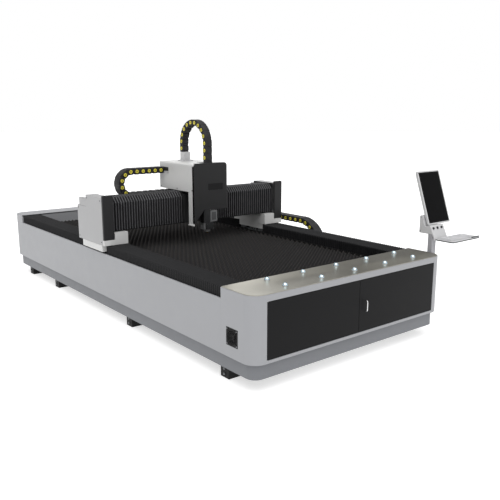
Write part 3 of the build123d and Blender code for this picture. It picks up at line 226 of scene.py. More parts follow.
def zinc_coat(name, colour):
    """Hot-dip galvanised sheet: crystals of zinc, the spangle, each with its own tone."""
    made, tree, place = new_finish(name)
    flake = add(tree, "ShaderNodeTexVoronoi", {"Vector": place, "Scale": per_mm(14)})
    part = add(tree, "ShaderNodeSeparateXYZ", {"Vector": flake.outputs["Color"]})
    return surface(made, part.outputs["X"], (linear(colour), linear(colour, 0.72)),
                   part.outputs["Y"], (0.28, 0.5), Metallic=1.0)


def floor_paint(name, colour):
    """Floor screed under a pale matt paint: rolled on, with a barely seen mottle."""
    made, tree, place = new_finish(name)
    mottle = add(tree, "ShaderNodeTexNoise", {"Vector": place, "Scale": per_mm(900), "Detail": 3.0})
    # The floor glows a little, like a light table, so the shadow under the machine stays faint.
    return surface(made, mottle, (linear(colour), linear(colour, 0.985)), Roughness=0.9,
                   Emission_Color=linear("#FFFFFF"), Emission_Strength=0.62)


class ColourSettings(bpy.types.PropertyGroup):
    casing: StringProperty(name="Casing", description="sRGB hex colour of the casing", default="#8E8F92")
    plinth: StringProperty(name="Plinth", description="sRGB hex colour of the plinth", default="#696B6F")
    covers: StringProperty(name="End covers", description="sRGB hex colour of the gantry's end covers",
                           default="#989899")
    housing: StringProperty(name="Housing", description="sRGB hex colour of the carriage's housing",
                            default="#C0C0BF")
    console: StringProperty(name="Console", description="sRGB hex colour of the console", default="#B6B6B7")
    doors: StringProperty(name="Doors", description="sRGB hex colour of the cabinet doors", default="#151516")
    black_parts: StringProperty(name="Black parts", description="sRGB hex colour of the black sheet parts",
                                default="#272728")
    pin_caps: StringProperty(name="Pin caps", description="sRGB hex colour of the chains' pin caps",
                             default="#D6CA3C")


# How each finish is made: its function, its colour as a setting above or an sRGB hex code, and its values
RECIPES = {
    "shell_powder_coat": (powder_coat, "casing"),
    "plinth_powder_coat": (powder_coat, "plinth", 0.48),
    "cover_powder_coat": (powder_coat, "covers"),
    "housing_powder_coat": (powder_coat, "housing"),
    "console_powder_coat": (powder_coat, "console", 0.4),
    # The post's paint is a darker copy of the console's: painted shade from the shelf over it.
    "post_powder_coat": (powder_coat, "#96969A", 0.4),
    "door_powder_coat": (powder_coat, "doors", 0.36, 2.4, 0.85, 0.08),
    "black_powder_coat": (powder_coat, "black_parts", 0.45, 2.4, 0.85, 0.2),
    "recess_powder_coat": (powder_coat, "#1A1A1B", 0.55, 2.4, 0.85, 0.15),
    "frame_black_enamel": (powder_coat, "#1C1C1C", 0.5, 4.0, 0.8, 0.2),
    "foot_black_enamel": (powder_coat, "#161616", 0.55, 4.0, 0.8, 0.2),
    "brushed_stainless": (brushed_sheet, "#98958A", "#D2CFC4", (0.02, 1.0, 1.0)),
    # The bluish tint of the balls is a painted reflection.
    "polished_bearing_steel": (bright_metal, "#CCE0EA", 0.14, 6.0),
    "ground_rail_steel": (bright_metal, "#9A9C9E", 0.25),
    "milled_steel": (bright_metal, "#8A8C8E", 0.32),
    "satin_chrome": (bright_metal, "#D8D8D8", 0.18),
    "turned_brass": (bright_metal, "#C9A257", 0.24, 3.0),
    "blasted_aluminium": (blasted_aluminium, "#8C8D8E"),
    "grey_anodised_aluminium": (blasted_aluminium, "#626364"),
    "dark_anodised_aluminium": (blasted_aluminium, "#3E3F40"),
    "scaled_slat_steel": (scaled_steel, "#38383A", "#4A443E", 0.606),
    "coated_pleat_cloth": (coated_cloth, "#0F0F10", "#1B1B1D"),
    # Lighter cloth for the pleats' ridges: a painted highlight.
    "rubbed_pleat_ridge": (coated_cloth, "#3A3A3C", "#5A5A5C"),
    "chain_polyamide": (moulded_plastic, "#232224", 0.5, 1.6, 0.85, 0.25),
    "boss_polyamide": (moulded_plastic, "pin_caps", 0.42),
    # Darker yellow for the caps' hollow centres: painted shade.
    "pin_polyamide": (moulded_plastic, "#8A7F2C", 0.5),
    "fan_polyamide": (moulded_plastic, "#131313", 0.6, 1.6, 0.85, 0.2),
    # Dark ABS of the drives; the shelf also takes it for painted shade and a painted shadow line.
    "drive_abs": (moulded_plastic, "#3E4144", 0.5),
    "key_abs": (moulded_plastic, "#BDBDBF", 0.5),
    "motor_enamel": (powder_coat, "#1F1F20", 0.45, 5.0, 0.8, 0.3),
    "nozzle_ceramic": (moulded_plastic, "#D9D7D0", 0.3),
    "etched_screen_glass": (screen_glass, "#0A0A0B"),
    "bezel_abs": (moulded_plastic, "#0C0C0C", 0.5, 1.6, 0.85, 0.1),
    "button_dark": (moulded_plastic, "#1E2023", 0.35, 1.6, 0.85, 0.25),
    "zinc_spangle": (zinc_coat, "#B4B7B9"),
}


def finish(name):
    """The finish of that name, made the first time that a piece asks for it."""
    made = bpy.data.materials.get(name)
    if made is None:
        make, colour, *values = RECIPES[name]
        made = make(name, getattr(bpy.context.scene.cutter_colours, colour, colour), *values)
    return made


def dress(finishes):
    """Gives CAD nodes that keep their shape their finish."""
    for node, name in finishes.items():
        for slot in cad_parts[node].material_slots:
            slot.material = finish(name)


# Outlines

def arc(u, v, r, start, turn, steps):
    """Points of an arc about (u, v), angles in degrees."""
    return [(u + r * math.cos(math.radians(start + turn * i / steps)),
             v + r * math.sin(math.radians(start + turn * i / steps))) for i in range(steps + 1)]


def circle(r, count, u=0.0, v=0.0):
    """Points of a circle about (u, v)."""
    turns = [math.tau * k / count for k in range(count)]
    return [(u + r * math.cos(t), v + r * math.sin(t)) for t in turns]


def rounded(u0, u1, v0, v1, r, steps=6):
    """Rectangle with rounded corners."""
    return (arc(u1 - r, v1 - r, r, 0, 90, steps) + arc(u0 + r, v1 - r, r, 90, 90, steps)
            + arc(u0 + r, v0 + r, r, 180, 90, steps) + arc(u1 - r, v0 + r, r, 270, 90, steps))


def spread(axis, outline, level):
    """Points of a flat outline at a level along an axis."""
    if axis == "x":
        return [(level, u, v) for u, v in outline]
    if axis == "y":
        return [(u, level, v) for u, v in outline]
    return [(u, v, level) for u, v in outline]


class Piece:
    """Gathers the faces of one piece in millimetres; each call names the finish of its faces."""

    def __init__(self):
        self.mesh = bmesh.new()
        self.finishes = []

    def mark(self, faces, name):
        """Gives faces a finish."""
        if name not in self.finishes:
            self.finishes.append(name)
        for face in faces:
            face.material_index = self.finishes.index(name)

    def roll(self, faces, soft, steps=2):
        """Rounds the sharp edges between these faces."""
        edges = list({e for f in faces for e in f.edges if e.calc_face_angle(0.0) > 0.5})
        bmesh.ops.bevel(self.mesh, geom=edges, offset=soft * MM, segments=steps, profile=0.5, affect="EDGES",
                        clamp_overlap=True, material=-1)

    def skin(self, rings, name, soft=0.0, ends=True, closed=True):
        """Faces between rings of points that all have one count."""
        verts = [[self.mesh.verts.new([c * MM for c in p]) for p in ring] for ring in rings]
        count = len(verts[0])
        faces = []
        for a, b in zip(verts, verts[1:]):
            for i in range(count if closed else count - 1):
                j = (i + 1) % count
                faces.append(self.mesh.faces.new((a[i], a[j], b[j], b[i])))
        if ends:
            faces += [self.mesh.faces.new(verts[0][::-1]), self.mesh.faces.new(verts[-1])]
            bmesh.ops.recalc_face_normals(self.mesh, faces=faces)
        self.mark(faces, name)
        if soft:
            self.roll(faces, soft)
        return faces

    def prism(self, axis, outline, a, b, name, soft=0.0):
        """Body of one outline between two levels along an axis."""
        return self.skin([spread(axis, outline, a), spread(axis, outline, b)], name, soft)

    def block(self, x0, x1, y0, y1, z0, z1, name, soft=1.5):
        """Upright box with rounded edges."""
        return self.prism("z", [(x0, y0), (x1, y0), (x1, y1), (x0, y1)], z0, z1, name, soft)

    def blocks(self, name, soft, *boxes):
        """Blocks of one finish and one edge radius."""
        for box in boxes:
            self.block(*box, name, soft)

    def turned(self, centre, axis, profile, name, sides=32):
        """Body of (radius, height) steps about an axis."""
        w = Vector(axis).normalized()
        u = w.orthogonal().normalized()
        v = w.cross(u)
        rings = []
        for r, h in profile:
            turns = [math.tau * k / sides for k in range(sides)]
            rings.append([Vector(centre) + w * h + (u * math.cos(t) + v * math.sin(t)) * r for t in turns])
        return self.skin(rings, name)

    def screw(self, centre, axis, r, name="milled_steel"):
        """Socket screw head, its hexagon sunk in."""
        self.turned(centre, axis, [(r, -1), (r, r * 0.8), (r * 0.88, r)], name, 20)
        tip = Vector(centre) + Vector(axis).normalized() * (r + 0.1)
        self.turned(tip, axis, [(r * 0.5, 0), (r * 0.45, 0.2)], "black_powder_coat", 6)

    def tube(self, points, r, name, sides=12):
        """Round bar along a line of points."""
        line = [Vector(p) for p in points]
        rings = []
        side = None
        for i, p in enumerate(line):
            ahead = (line[min(i + 1, len(line) - 1)] - line[max(i - 1, 0)]).normalized()
            side = ahead.orthogonal() if side is None else side - ahead * side.dot(ahead)
            side.normalize()
            up = ahead.cross(side)
            rings.append([p + (side * math.cos(t) + up * math.sin(t)) * r
                          for t in (math.tau * k / sides for k in range(sides))])
        return self.skin(rings, name)

    def make(self, name, angle=35):
        """Object of the gathered faces, smooth up to an angle."""
        data = bpy.data.meshes.new(name)
        self.mesh.to_mesh(data)
        self.mesh.free()
        for each in self.finishes:
            data.materials.append(finish(each))
        data.shade_smooth()
        data.set_sharp_from_angle(angle=math.radians(angle))
        made = bpy.data.objects.new(name, data)
        bpy.context.scene.collection.objects.link(made)
        return made

    def place(self, name, body, slot, replaced=(), angle=35):
        """The piece, riding on its body."""
        made = self.make(name, angle)
        normals = made.modifiers.new("even_normals", "WEIGHTED_NORMAL")
        normals.keep_sharp = True
        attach(made, body)
        if replaced:
            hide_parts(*replaced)
        return made

    def bend(self, name, bodies, start, end, slot, replaced=(), angle=35):
        """The piece, with its placement baked into its mesh; the bodies and the two points are not used."""
        made = self.make(name, angle)
        [c * MM for c in start]
        [c * MM for c in end]
        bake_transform(made)
        if replaced:
            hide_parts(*replaced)
        return made


class CutterOperator(bpy.types.Operator):
    """Common ground of the operators below"""
    bl_options = {"REGISTER", "UNDO"}


# Stage

# Place of the camera in metres, and how far it looks down and to the right, in degrees
CAMERA_AT, CAMERA_DOWN, CAMERA_RIGHT = (-3.42357, -5.32409, 1.83760), 12.1711, 38.4395
# Place of the soft lamp, the point that it shines at, and its spread in degrees
LAMP_AT, LAMP_AIM, LAMP_SPREAD = (-1.5, -2.5, 8.0), (0, 0, 0.6), 80
# The grey cards fill a turn between these two bearings; each has its share of the turn and its brightness
CARD_ARC = (20, 70)
# They fade out between these two upward parts of the direction
CARD_TOP = (0.42, 0.6)
CARDS = ((0.0, 1.0), (0.14, 1.0), (0.26, 3.0), (0.37, 3.0), (0.43, 0.5), (0.56, 0.14), (0.61, 0.45),
         (0.7, 0.16), (0.82, 0.5), (1.0, 1.0))


class StageSettings(bpy.types.PropertyGroup):
    lens: FloatProperty(name="Lens", description="Focal length", default=45.56, unit="CAMERA")
    floor_colour: StringProperty(name="Floor colour", description="sRGB hex colour of the floor",
                                 default="#C4C4C4")
    floor_radius: FloatProperty(name="Floor radius", description="Radius of the floor, in mm",
                                default=60000.0)
    sky: FloatProperty(name="Sky", description="Strength of the surrounding light", default=0.64)
    overhead: FloatProperty(name="Overhead", description="Strength of the soft light from above", default=2.8)


class CUTTER_OT_stage(CutterOperator):
    """Makes the floor, the lights and the camera"""
    bl_idname = "cutter.stage"
    bl_label = "Stage"

    def stand(self, name, data, place):
        """Object of some scene data at a place."""
        made = bpy.data.objects.new(name, data)
        made.location = place
        bpy.context.scene.collection.objects.link(made)
        return made

    def sky(self, world, strength):
        """A pale room; grey cards stand behind the machine, so that bare steel has something to reflect."""
        world.use_nodes = True
        tree = world.node_tree
        back = tree.nodes["Background"]
        way = add(tree, "ShaderNodeTexCoord").outputs["Generated"]
        part = add(tree, "ShaderNodeSeparateXYZ", {"Vector": way})
        turn = add(tree, "ShaderNodeMath", {0: part.outputs["X"], 1: part.outputs["Y"]}, operation="ARCTAN2")
        across = add(tree, "ShaderNodeMapRange", {"Value": turn,
                                                  "From Min": math.radians(CARD_ARC[0]),
                                                  "From Max": math.radians(CARD_ARC[1])})
        cards = add(tree, "ShaderNodeValToRGB", {"Fac": across})
        ramp = cards.color_ramp
        for spot, level in CARDS:
            stop = ramp.elements.new(spot) if 0 < spot < 1 else ramp.elements[int(spot)]
            stop.color = (level, level, level, 1.0)
        rise = add(tree, "ShaderNodeMapRange", {"Value": part.outputs["Z"], "From Min": CARD_TOP[0],
                                                "From Max": CARD_TOP[1]})
        room = add(tree, "ShaderNodeMix", {0: rise, 2: cards, 3: 1.0})
        power = add(tree, "ShaderNodeMath", {0: room, 1: strength}, operation="MULTIPLY")
        path = add(tree, "ShaderNodeLightPath")
        shown = add(tree, "ShaderNodeMix", {0: path.outputs["Is Camera Ray"], 2: power,
                                            3: 1.0})
        tree.links.new(shown.outputs[0], back.inputs["Strength"])
        back.inputs["Color"].default_value = linear("#FFFFFF")

    def execute(self, context):
        values = context.scene.cutter_stage
        scene = context.scene
        scene.view_settings.view_transform = "Standard"
        data = bpy.data.cameras.new("camera")
        data.lens = values.lens
        data.sensor_width = 36.0
        camera = self.stand("camera", data, CAMERA_AT)
        camera.rotation_euler = (math.radians(90 - CAMERA_DOWN), 0.0, math.radians(-CAMERA_RIGHT))
        bpy.context.scene.camera = camera

        scene.world = bpy.data.worlds.new("studio")
        self.sky(scene.world, values.sky)
        data = bpy.data.lights.new("overhead", "SUN")
        data.energy = values.overhead
        data.angle = math.radians(LAMP_SPREAD)
        lamp = self.stand("overhead", data, LAMP_AT)
        lamp.rotation_euler = (Vector(LAMP_AIM) - Vector(LAMP_AT)).to_track_quat("-Z", "Y").to_euler()

        floor = Piece()
        floor.prism("z", circle(values.floor_radius, 48), -20, 0, "cover_powder_coat")
        ground = floor.make("floor")
        ground.data.materials[0] = floor_paint("pale_floor_paint", values.floor_colour)
        return {"FINISHED"}


# Bed

class BedSettings(bpy.types.PropertyGroup):
    slat_pitch: FloatProperty(name="Slat pitch", description="Distance between slats, in mm", default=70.0)
    tooth_pitch: FloatProperty(name="Tooth pitch", description="Distance between slat teeth, in mm",
                               default=43.9)


def cap_path(half, edge, join, r, inset, stops=()):
    """Plan of an end cap from its left rear round the front to its right rear, set in by an inset."""
    out = 1 if join > edge else -1
    half, edge, r = half - inset, edge + out * inset, r - inset
    left = [(-half, join)] + [(-half, y) for y in stops]
    left += [(-half + r - r * math.cos(t), edge + out * (r - r * math.sin(t)))
             for t in (math.pi / 2 * k / 14 for k in range(15))]
    return left + [(-DOOR_EDGE, edge), (DOOR_EDGE, edge)] + [(-x, y) for x, y in reversed(left)]


def no_opening(x, y, z):
    """A cap without openings."""
    return False


def cap_shell(piece, half, edge, join, r, levels, wall, name, is_open=no_opening, stops=()):
    """Bent sheet cap, open at its join, with openings; levels are (height, inset) from the bottom up."""
    verts = []
    for depth in (0, wall):
        plan = [cap_path(half, edge, join, r, inset + depth, stops) for _, inset in levels]
        verts.append([[piece.mesh.verts.new((x * MM, y * MM, z * MM)) for x, y in row]
                      for row, (z, _) in zip(plan, levels)])
    outer, inner = verts
    solid = {}
    for j in range(len(levels) - 1):
        for i in range(len(outer[0]) - 1):
            mid = [(outer[j][i].co[k] + outer[j + 1][i + 1].co[k]) / 2 / MM for k in range(3)]
            solid[i, j] = not is_open(*mid)
    faces, new = [], piece.mesh.faces.new
    for i, j in (cell for cell, there in solid.items() if there):
        faces.append(new((outer[j][i], outer[j][i + 1], outer[j + 1][i + 1], outer[j + 1][i])))
        faces.append(new((inner[j][i], inner[j + 1][i], inner[j + 1][i + 1], inner[j][i + 1])))
        for a, b, near in (((i, j), (i, j + 1), (i - 1, j)), ((i + 1, j), (i + 1, j + 1), (i + 1, j)),
                           ((i, j), (i + 1, j), (i, j - 1)), ((i, j + 1), (i + 1, j + 1), (i, j + 1))):
            if not solid.get(near, False):
                ends = [(row[a[1]][a[0]], row[b[1]][b[0]]) for row in (outer, inner)]
                faces.append(new((*ends[0], *ends[1][::-1])))
    bmesh.ops.recalc_face_normals(piece.mesh, faces=faces)
    piece.mark(faces, name)


class CUTTER_OT_shell(CutterOperator):
    """Bends the sheet shell: cabinet cap, rear cap, side panels and plinth"""
    bl_idname = "cutter.shell"
    bl_label = "Shell"

    def execute(self, context):
        coat = "shell_powder_coat"
        _, half, front, join, z0, top = sides("front_end_cap")
        _, _, fan_y0, fan_y1, fan_z0, fan_z1 = sides("fan_housing")
        fan = (fan_y0 - 0.3, fan_y1 + 0.3, fan_z0 - 0.3, fan_z1 + 0.3)
        door = (DOOR_Z[0] - 3, DOOR_Z[1] + 3)
        foot, rim = [(z0, 1.5), (z0 + 1.5, 0)], [(top - 3, 0), (top - 0.9, 0.9), (top, 3)]
        edges = [(z, 0) for z in (door[0], fan[2], fan[3], door[1])]

        def is_open(x, y, z):
            in_door = y < front + 1 and abs(x) < DOOR_EDGE and door[0] < z < door[1]
            return in_door or (x < 5 - half and fan[0] < y < fan[1] and fan[2] < z < fan[3])

        cap = Piece()
        cap_shell(cap, half, front, join, CORNER, foot + edges + rim, WALL, coat, is_open, (fan[1], fan[0]))
        cap.prism("z", cap_path(half, front, join, CORNER, 3), top - 12, top - 0.05, coat)
        cap.prism("z", cap_path(half, front, join, CORNER, WALL), z0, z0 + 12, coat)
        cap.block(WALL - half, half - WALL, join - 12, join, z0, top, coat, 0)
        cap.place("front_cap_shell", "bed", "shell_paint", ["front_end_cap"])

        _, _, join, edge, _, top = sides("rear_end_cap")
        rim = [(top - 3, 0), (top - 0.9, 0.9), (top, 3)]
        rear = Piece()
        cap_shell(rear, half, edge, join, CORNER, foot + rim, WALL, coat)
        rear.prism("z", cap_path(half, edge, join, CORNER, 3), top - 12, top - 0.05, coat)
        rear.block(WALL - half, half - WALL, join, join + 12, z0, top, coat, 0)
        for column in (-560, 560):
            rear.block(column - 190, column + 190, edge - 1, edge + 1.5, 300, 560, coat, 1)
            for z in range(325, 534, 26):
                hood = [(edge, z), (edge + 7, z), (edge + 7, z + 3), (edge, z + 15)]
                rear.prism("x", hood, column - 160, column + 160, coat, 0.8)
            for x, z in ((-180, 312), (180, 312), (-180, 548), (180, 548)):
                rear.screw((column + x, edge + 1.5, z), (0, 1, 0), 4)
        rear.block(-150, 150, edge - 1, edge + 3, 330, 470, "zinc_spangle", 1)
        socket = [(20, 0), (20, 5), (17, 6), (13, 8), (9, 8.5)]
        for k in range(4):
            rear.turned((-97.5 + 65 * k, edge + 2, 400), (0, 1, 0), socket, "fan_polyamide", 24)
        rear.place("rear_cap_shell", "bed", "shell_paint", ["rear_end_cap"])

        for s, node in ((-1, "side_panel_left"), (1, "side_panel_right")):
            _, _, y0, y1, _, z1 = sides(node)
            panel = Piece()
            sheet = [(half, z0 + 1), (half, z1 - 2.5), (half - 0.8, z1 - 0.7), (half - 2.5, z1),
                     (half - 10.5, z1), (half - 10.5, z1 - 2), (half - 4.2, z1 - 2), (half - 4.2, z0 + 4.2),
                     (950.5, z0 + 4.2), (950.5, z0), (half - 1, z0)]
            panel.prism("y", [(s * u, v) for u, v in sheet], y0 + 0.4, y1 - 0.4, coat)
            panel.place(node + "_sheet", "bed", "shell_paint", [node])

        _, half, y0, y1, z0, z1 = sides("plinth_skirt")
        plinth, middle, levels = Piece(), (y0 + y1) / 2, [(z0, 0), (z1, 0)]
        for edge in (y0, y1):
            cap_shell(plinth, half, edge, middle, PLINTH_CORNER, levels, 30, "plinth_powder_coat")
        plinth.place("plinth_sheet", "bed", "plinth_paint", ["plinth_skirt"])
        dress({"base_frame": "frame_black_enamel"})
        return {"FINISHED"}


class CUTTER_OT_feet(CutterOperator):
    """Machines the eight steel feet with their jack screws"""
    bl_idname = "cutter.feet"
    bl_label = "Feet"

    def execute(self, context):
        middle, half, height = 890, 55, 100
        piece = Piece()
        for y in (-1912.5, -486.5, 1155.5, 1912.5):
            for side in (-1, 1):
                x = side * middle
                piece.block(x - half, x + half, y - 50, y + 50, 0, height, "foot_black_enamel", 3)
                for z in (30, 70):
                    piece.screw((x + side * (half - 1), y, z), (side, 0, 0), 9)
        piece.place("feet", "bed", "foot_paint", ["foot_blocks"])
        return {"FINISHED"}


class CUTTER_OT_loading_plate(CutterOperator):
    """Brushes the loading plate and seats the ball transfer units"""
    bl_idname = "cutter.loading_plate"
    bl_label = "Loading plate"

    def execute(self, context):
        _, half, y0, y1, z0, z1 = sides("front_top_plate")
        plate = Piece()
        plate.prism("z", cap_path(half, y0, y1 - 0.4, PLATE_CORNER, 0), z0, z1, "brushed_stainless", 1.2)
        plate.place("loading_plate", "bed", "stainless", ["front_top_plate"])
        _, _, y0, y1, z0, _ = sides("ball_units")
        cup = [(22, 0), (22, 3.4), (21.4, 4.4), (20.6, 4.6)]
        ball = [(u, 3.6 + v) for u, v in arc(0, 0, 20.8, 0, 80, 8)] + [(0.2, 24.4)]
        units = Piece()
        for y in (y0 + 22, y1 - 22):
            for k in range(5):
                spot = (30 + 345 * (k - 2), y, z0)
                units.turned(spot, (0, 0, 1), cup, "satin_chrome", 40)
                # The balls' bluish tint is a painted reflection.
                units.turned(spot, (0, 0, 1), ball, "polished_bearing_steel", 40)
        units.place("ball_units_turned", "bed", "ball_steel", ["ball_units"])
        return {"FINISHED"}


class CUTTER_OT_table(CutterOperator):
    """Cuts the toothed slats and the combs that hold them"""
    bl_idname = "cutter.table"
    bl_label = "Slat table"

    def execute(self, context):
        values = context.scene.cutter_bed
        _, half, y0, y1, low, top = sides("slat_frame")
        inner = half - 25
        _, end, _, _, z0, z1 = sides("slats")
        count = int((y1 - y0 - 60) / values.slat_pitch)
        count -= 1 - count % 2
        places = [(y0 + y1) / 2 + (k - (count - 1) / 2) * values.slat_pitch for k in range(count)]
        teeth = round(2 * end / values.tooth_pitch)
        step = 2 * end / teeth
        outline = [(-end, z0)]
        for k in range(teeth):
            left = -end + k * step
            outline += [(left, z1 - 20), (left + step / 2 - 1.5, z1), (left + step / 2 + 1.5, z1)]
        outline += [(end, z1 - 20), (end, z0)]
        slats = Piece()
        for y in places:
            slats.prism("y", outline, y - 2, y + 2, "scaled_slat_steel")
        slats.place("toothed_slats", "bed", "slat_steel", ["slats"], 30)

        comb = [(y0, low), (y0, top)]
        for y in places:
            comb += [(y - 2.6, top), (y - 2.3, z0), (y + 2.3, z0), (y + 2.6, top)]
        comb += [(y1, top), (y1, low)]
        combs = Piece()
        for a, b in ((inner, inner + 25), (-inner - 25, -inner)):
            combs.prism("x", comb, a, b, "frame_black_enamel")
        for y in (y0, y1 - 25):
            combs.block(-inner, inner, y, y + 25, low, top, "frame_black_enamel", 2)
        for x in (-260, 260):
            combs.block(x - 6, x + 6, y0, y1, z0 - 60, z0, "frame_black_enamel", 1)
        combs.place("slat_combs", "bed", "frame_paint", ["slat_frame"])
        dress({"slag_tray": "frame_black_enamel", "y_rails": "ground_rail_steel", "y_racks": "milled_steel"})
        return {"FINISHED"}


# Way covers

class CoverSettings(bpy.types.PropertyGroup):
    long_pleat: FloatProperty(name="Long pleat", description="Pleat pitch of the long way covers, in mm",
                              default=24.0)
    cross_pleat: FloatProperty(name="Cross pleat", description="Pleat pitch of the gantry's apron, in mm",
                               default=26.5)


def pleated(piece, ridge, valley, start, end, pitch, place, name, ridge_highlight):
    """Open outlines folded into pleats: each ridge is pressed sharp, and the faces round it take a lighter
    finish as a painted highlight; each valley lies soft.
    """
    count = max(2, round(abs(end - start) / pitch))
    rings, names = [], []
    for k in range(count):
        for share, depth in ((0.0, 1.0), (0.16, 0.72), (0.36, 0.12), (0.5, 0.0), (0.64, 0.12), (0.84, 0.72)):
            at = start + (end - start) * (k + share) / count
            rings.append([place((a[0] + (b[0] - a[0]) * depth, a[1] + (b[1] - a[1]) * depth), at)
                          for a, b in zip(ridge, valley)])
            # Faces round each ridge take the lighter finish: a painted highlight.
            names.append(ridge_highlight if 0.3 < share < 0.6 else name)
    rings.append([place(p, end) for p in valley])
    faces = piece.skin(rings, name, ends=False, closed=False)
    across = len(ridge) - 1
    for k, tone in enumerate(names):
        piece.mark(faces[k * across:(k + 1) * across], tone)
    first = piece.mesh.faces.new([f.verts[0] for f in faces[:across]] + [faces[across - 1].verts[1]])
    piece.mark([first], name)
    bmesh.ops.recalc_face_normals(piece.mesh, faces=piece.mesh.faces)


class CUTTER_OT_way_covers(CutterOperator):
    """Folds the pleated covers over the long rails"""
    bl_idname = "cutter.way_covers"
    bl_label = "Long way covers"

    def hood(self, inset, x0, x1, z0, z1, cut=6):
        """Outline of a cover over its rail, set in for the valleys; open at the foot."""
        x0, x1, z1 = x0 + inset, x1 - inset, z1 - inset
        return [(x0, z0), (x0, (z0 + z1) / 2), (x0, z1 - cut), (x0 + cut, z1), ((x0 + x1) / 2, z1),
                (x1 - cut, z1), (x1, z1 - cut), (x1, (z0 + z1) / 2), (x1, z0)]

    def execute(self, context):
        pitch = context.scene.cutter_covers.long_pleat
        cloth = "coated_pleat_cloth"
        for node in ("y_bellows_front", "y_bellows_rear"):
            _, out, y0, y1, z0, z1 = sides(node)
            start, end = (y0, y1) if node == "y_bellows_front" else (y1, y0)
            form = (800.5, out, z0, z1)
            for side, tag in ((-1, "left"), (1, "right")):
                cover = Piece()
                pleated(cover, self.hood(0, *form), self.hood(12, *form), y0 + 0.5, y1 - 0.5, pitch,
                        lambda p, s: (side * p[0], s, p[1]), cloth, cloth)
                cover.bend(f"{node}_{tag}_pleats", ("bed", "gantry"), (0, start, 0), (0, end, 0),
                           "bellows_fabric", [node], 20)
        return {"FINISHED"}


class CUTTER_OT_apron(CutterOperator):
    """Folds the pleated apron over the gantry beam, on both sides of the carriage"""
    bl_idname = "cutter.apron"
    bl_label = "Gantry apron"

    def outline(self, inset, front, rear, z0, z1):
        """Outline of the apron: up the gantry's front, over a slope and back over its top."""
        front, z1 = front + inset, z1 - inset
        cut = 50 - inset * (2 - math.sqrt(2))
        return [(front, z0), (front, (z0 + z1) / 2), (front, z1 - cut), (front + cut, z1),
                ((front + cut + rear) / 2, z1), (rear, z1)]

    def execute(self, context):
        pitch = context.scene.cutter_covers.cross_pleat
        for node in ("x_bellows_left", "x_bellows_right"):
            x0, x1, *form = sides(node)
            apron = Piece()
            pleated(apron, self.outline(0, *form), self.outline(13, *form), x0 + 0.5, x1 - 0.5, pitch,
                    lambda p, s: (s, p[0], p[1]), "coated_pleat_cloth", "rubbed_pleat_ridge")
            start, end = (x0, x1) if node == "x_bellows_left" else (x1, x0)
            apron.bend(node + "_pleats", ("gantry", "carriage"), (start, 0, 0), (end, 0, 0), "bellows_fabric",
                       [node], 20)
        return {"FINISHED"}


# Energy chains

class ChainSettings(bpy.types.PropertyGroup):
    boss: FloatProperty(name="Boss", description="Radius of the round pin caps, in mm", default=16.5)
    wall: FloatProperty(name="Side wall", description="Thickness of a link's side walls, in mm", default=9.0)


def link(piece, centre, along, out, side, pitch, height, width, boss, wall, caps):
    """One link: two side walls with round shoulders, two lids, a joint drum and its pin caps, whose hollow
    centres hold a darker disc as painted shade.
    """
    half, edge = pitch / 2 - 0.8, height / 2

    def spot(u, v, w):
        return centre + along * u + out * v + side * w

    def prism(outline, w0, w1, soft=0.0):
        rings = [[spot(u, v, w) for u, v in outline] for w in (w0, w1)]
        piece.skin(rings, "chain_polyamide", soft)

    outline = [(half, 2), (half - 1, edge - 4), (half - 4, edge), (4 - half, edge), (1 - half, edge - 4),
               (-half, 2), (11 - half, 1 - edge), (13 - half, -edge), (half - 13, -edge),
               (half - 11, 1 - edge)]
    for w0, w1 in ((-width / 2, -width / 2 + wall), (width / 2 - wall, width / 2)):
        prism(outline, w0, w1, 1.2)
    lid = pitch / 2 - 5
    for low, high, reach in ((edge - 7, edge - 0.8, lid), (0.8 - edge, 7 - edge, lid - 9)):
        prism([(-reach, low), (reach, low), (reach, high), (-reach, high)],
              wall - width / 2 - 1, width / 2 - wall + 1, 1.2)
    prism(circle(edge - 2, 16, pitch / 2), 2.5 - width / 2, width / 2 - 2.5)
    for way in caps:
        foot = spot(0, -1, way * (width / 2 - 0.5))
        cap = [(boss, 0), (boss, 2.2), (boss - 1.5, 3), (boss * 0.66, 3), (boss * 0.6, 2.2)]
        piece.turned(foot, side * way, cap, "boss_polyamide", 20)
        # A darker disc in each cap's hollow centre: painted shade.
        pin = [(boss * 0.6, 2), (boss * 0.5, 2.3), (boss * 0.3, 2.3)]
        piece.turned(foot, side * way, pin, "pin_polyamide", 14)


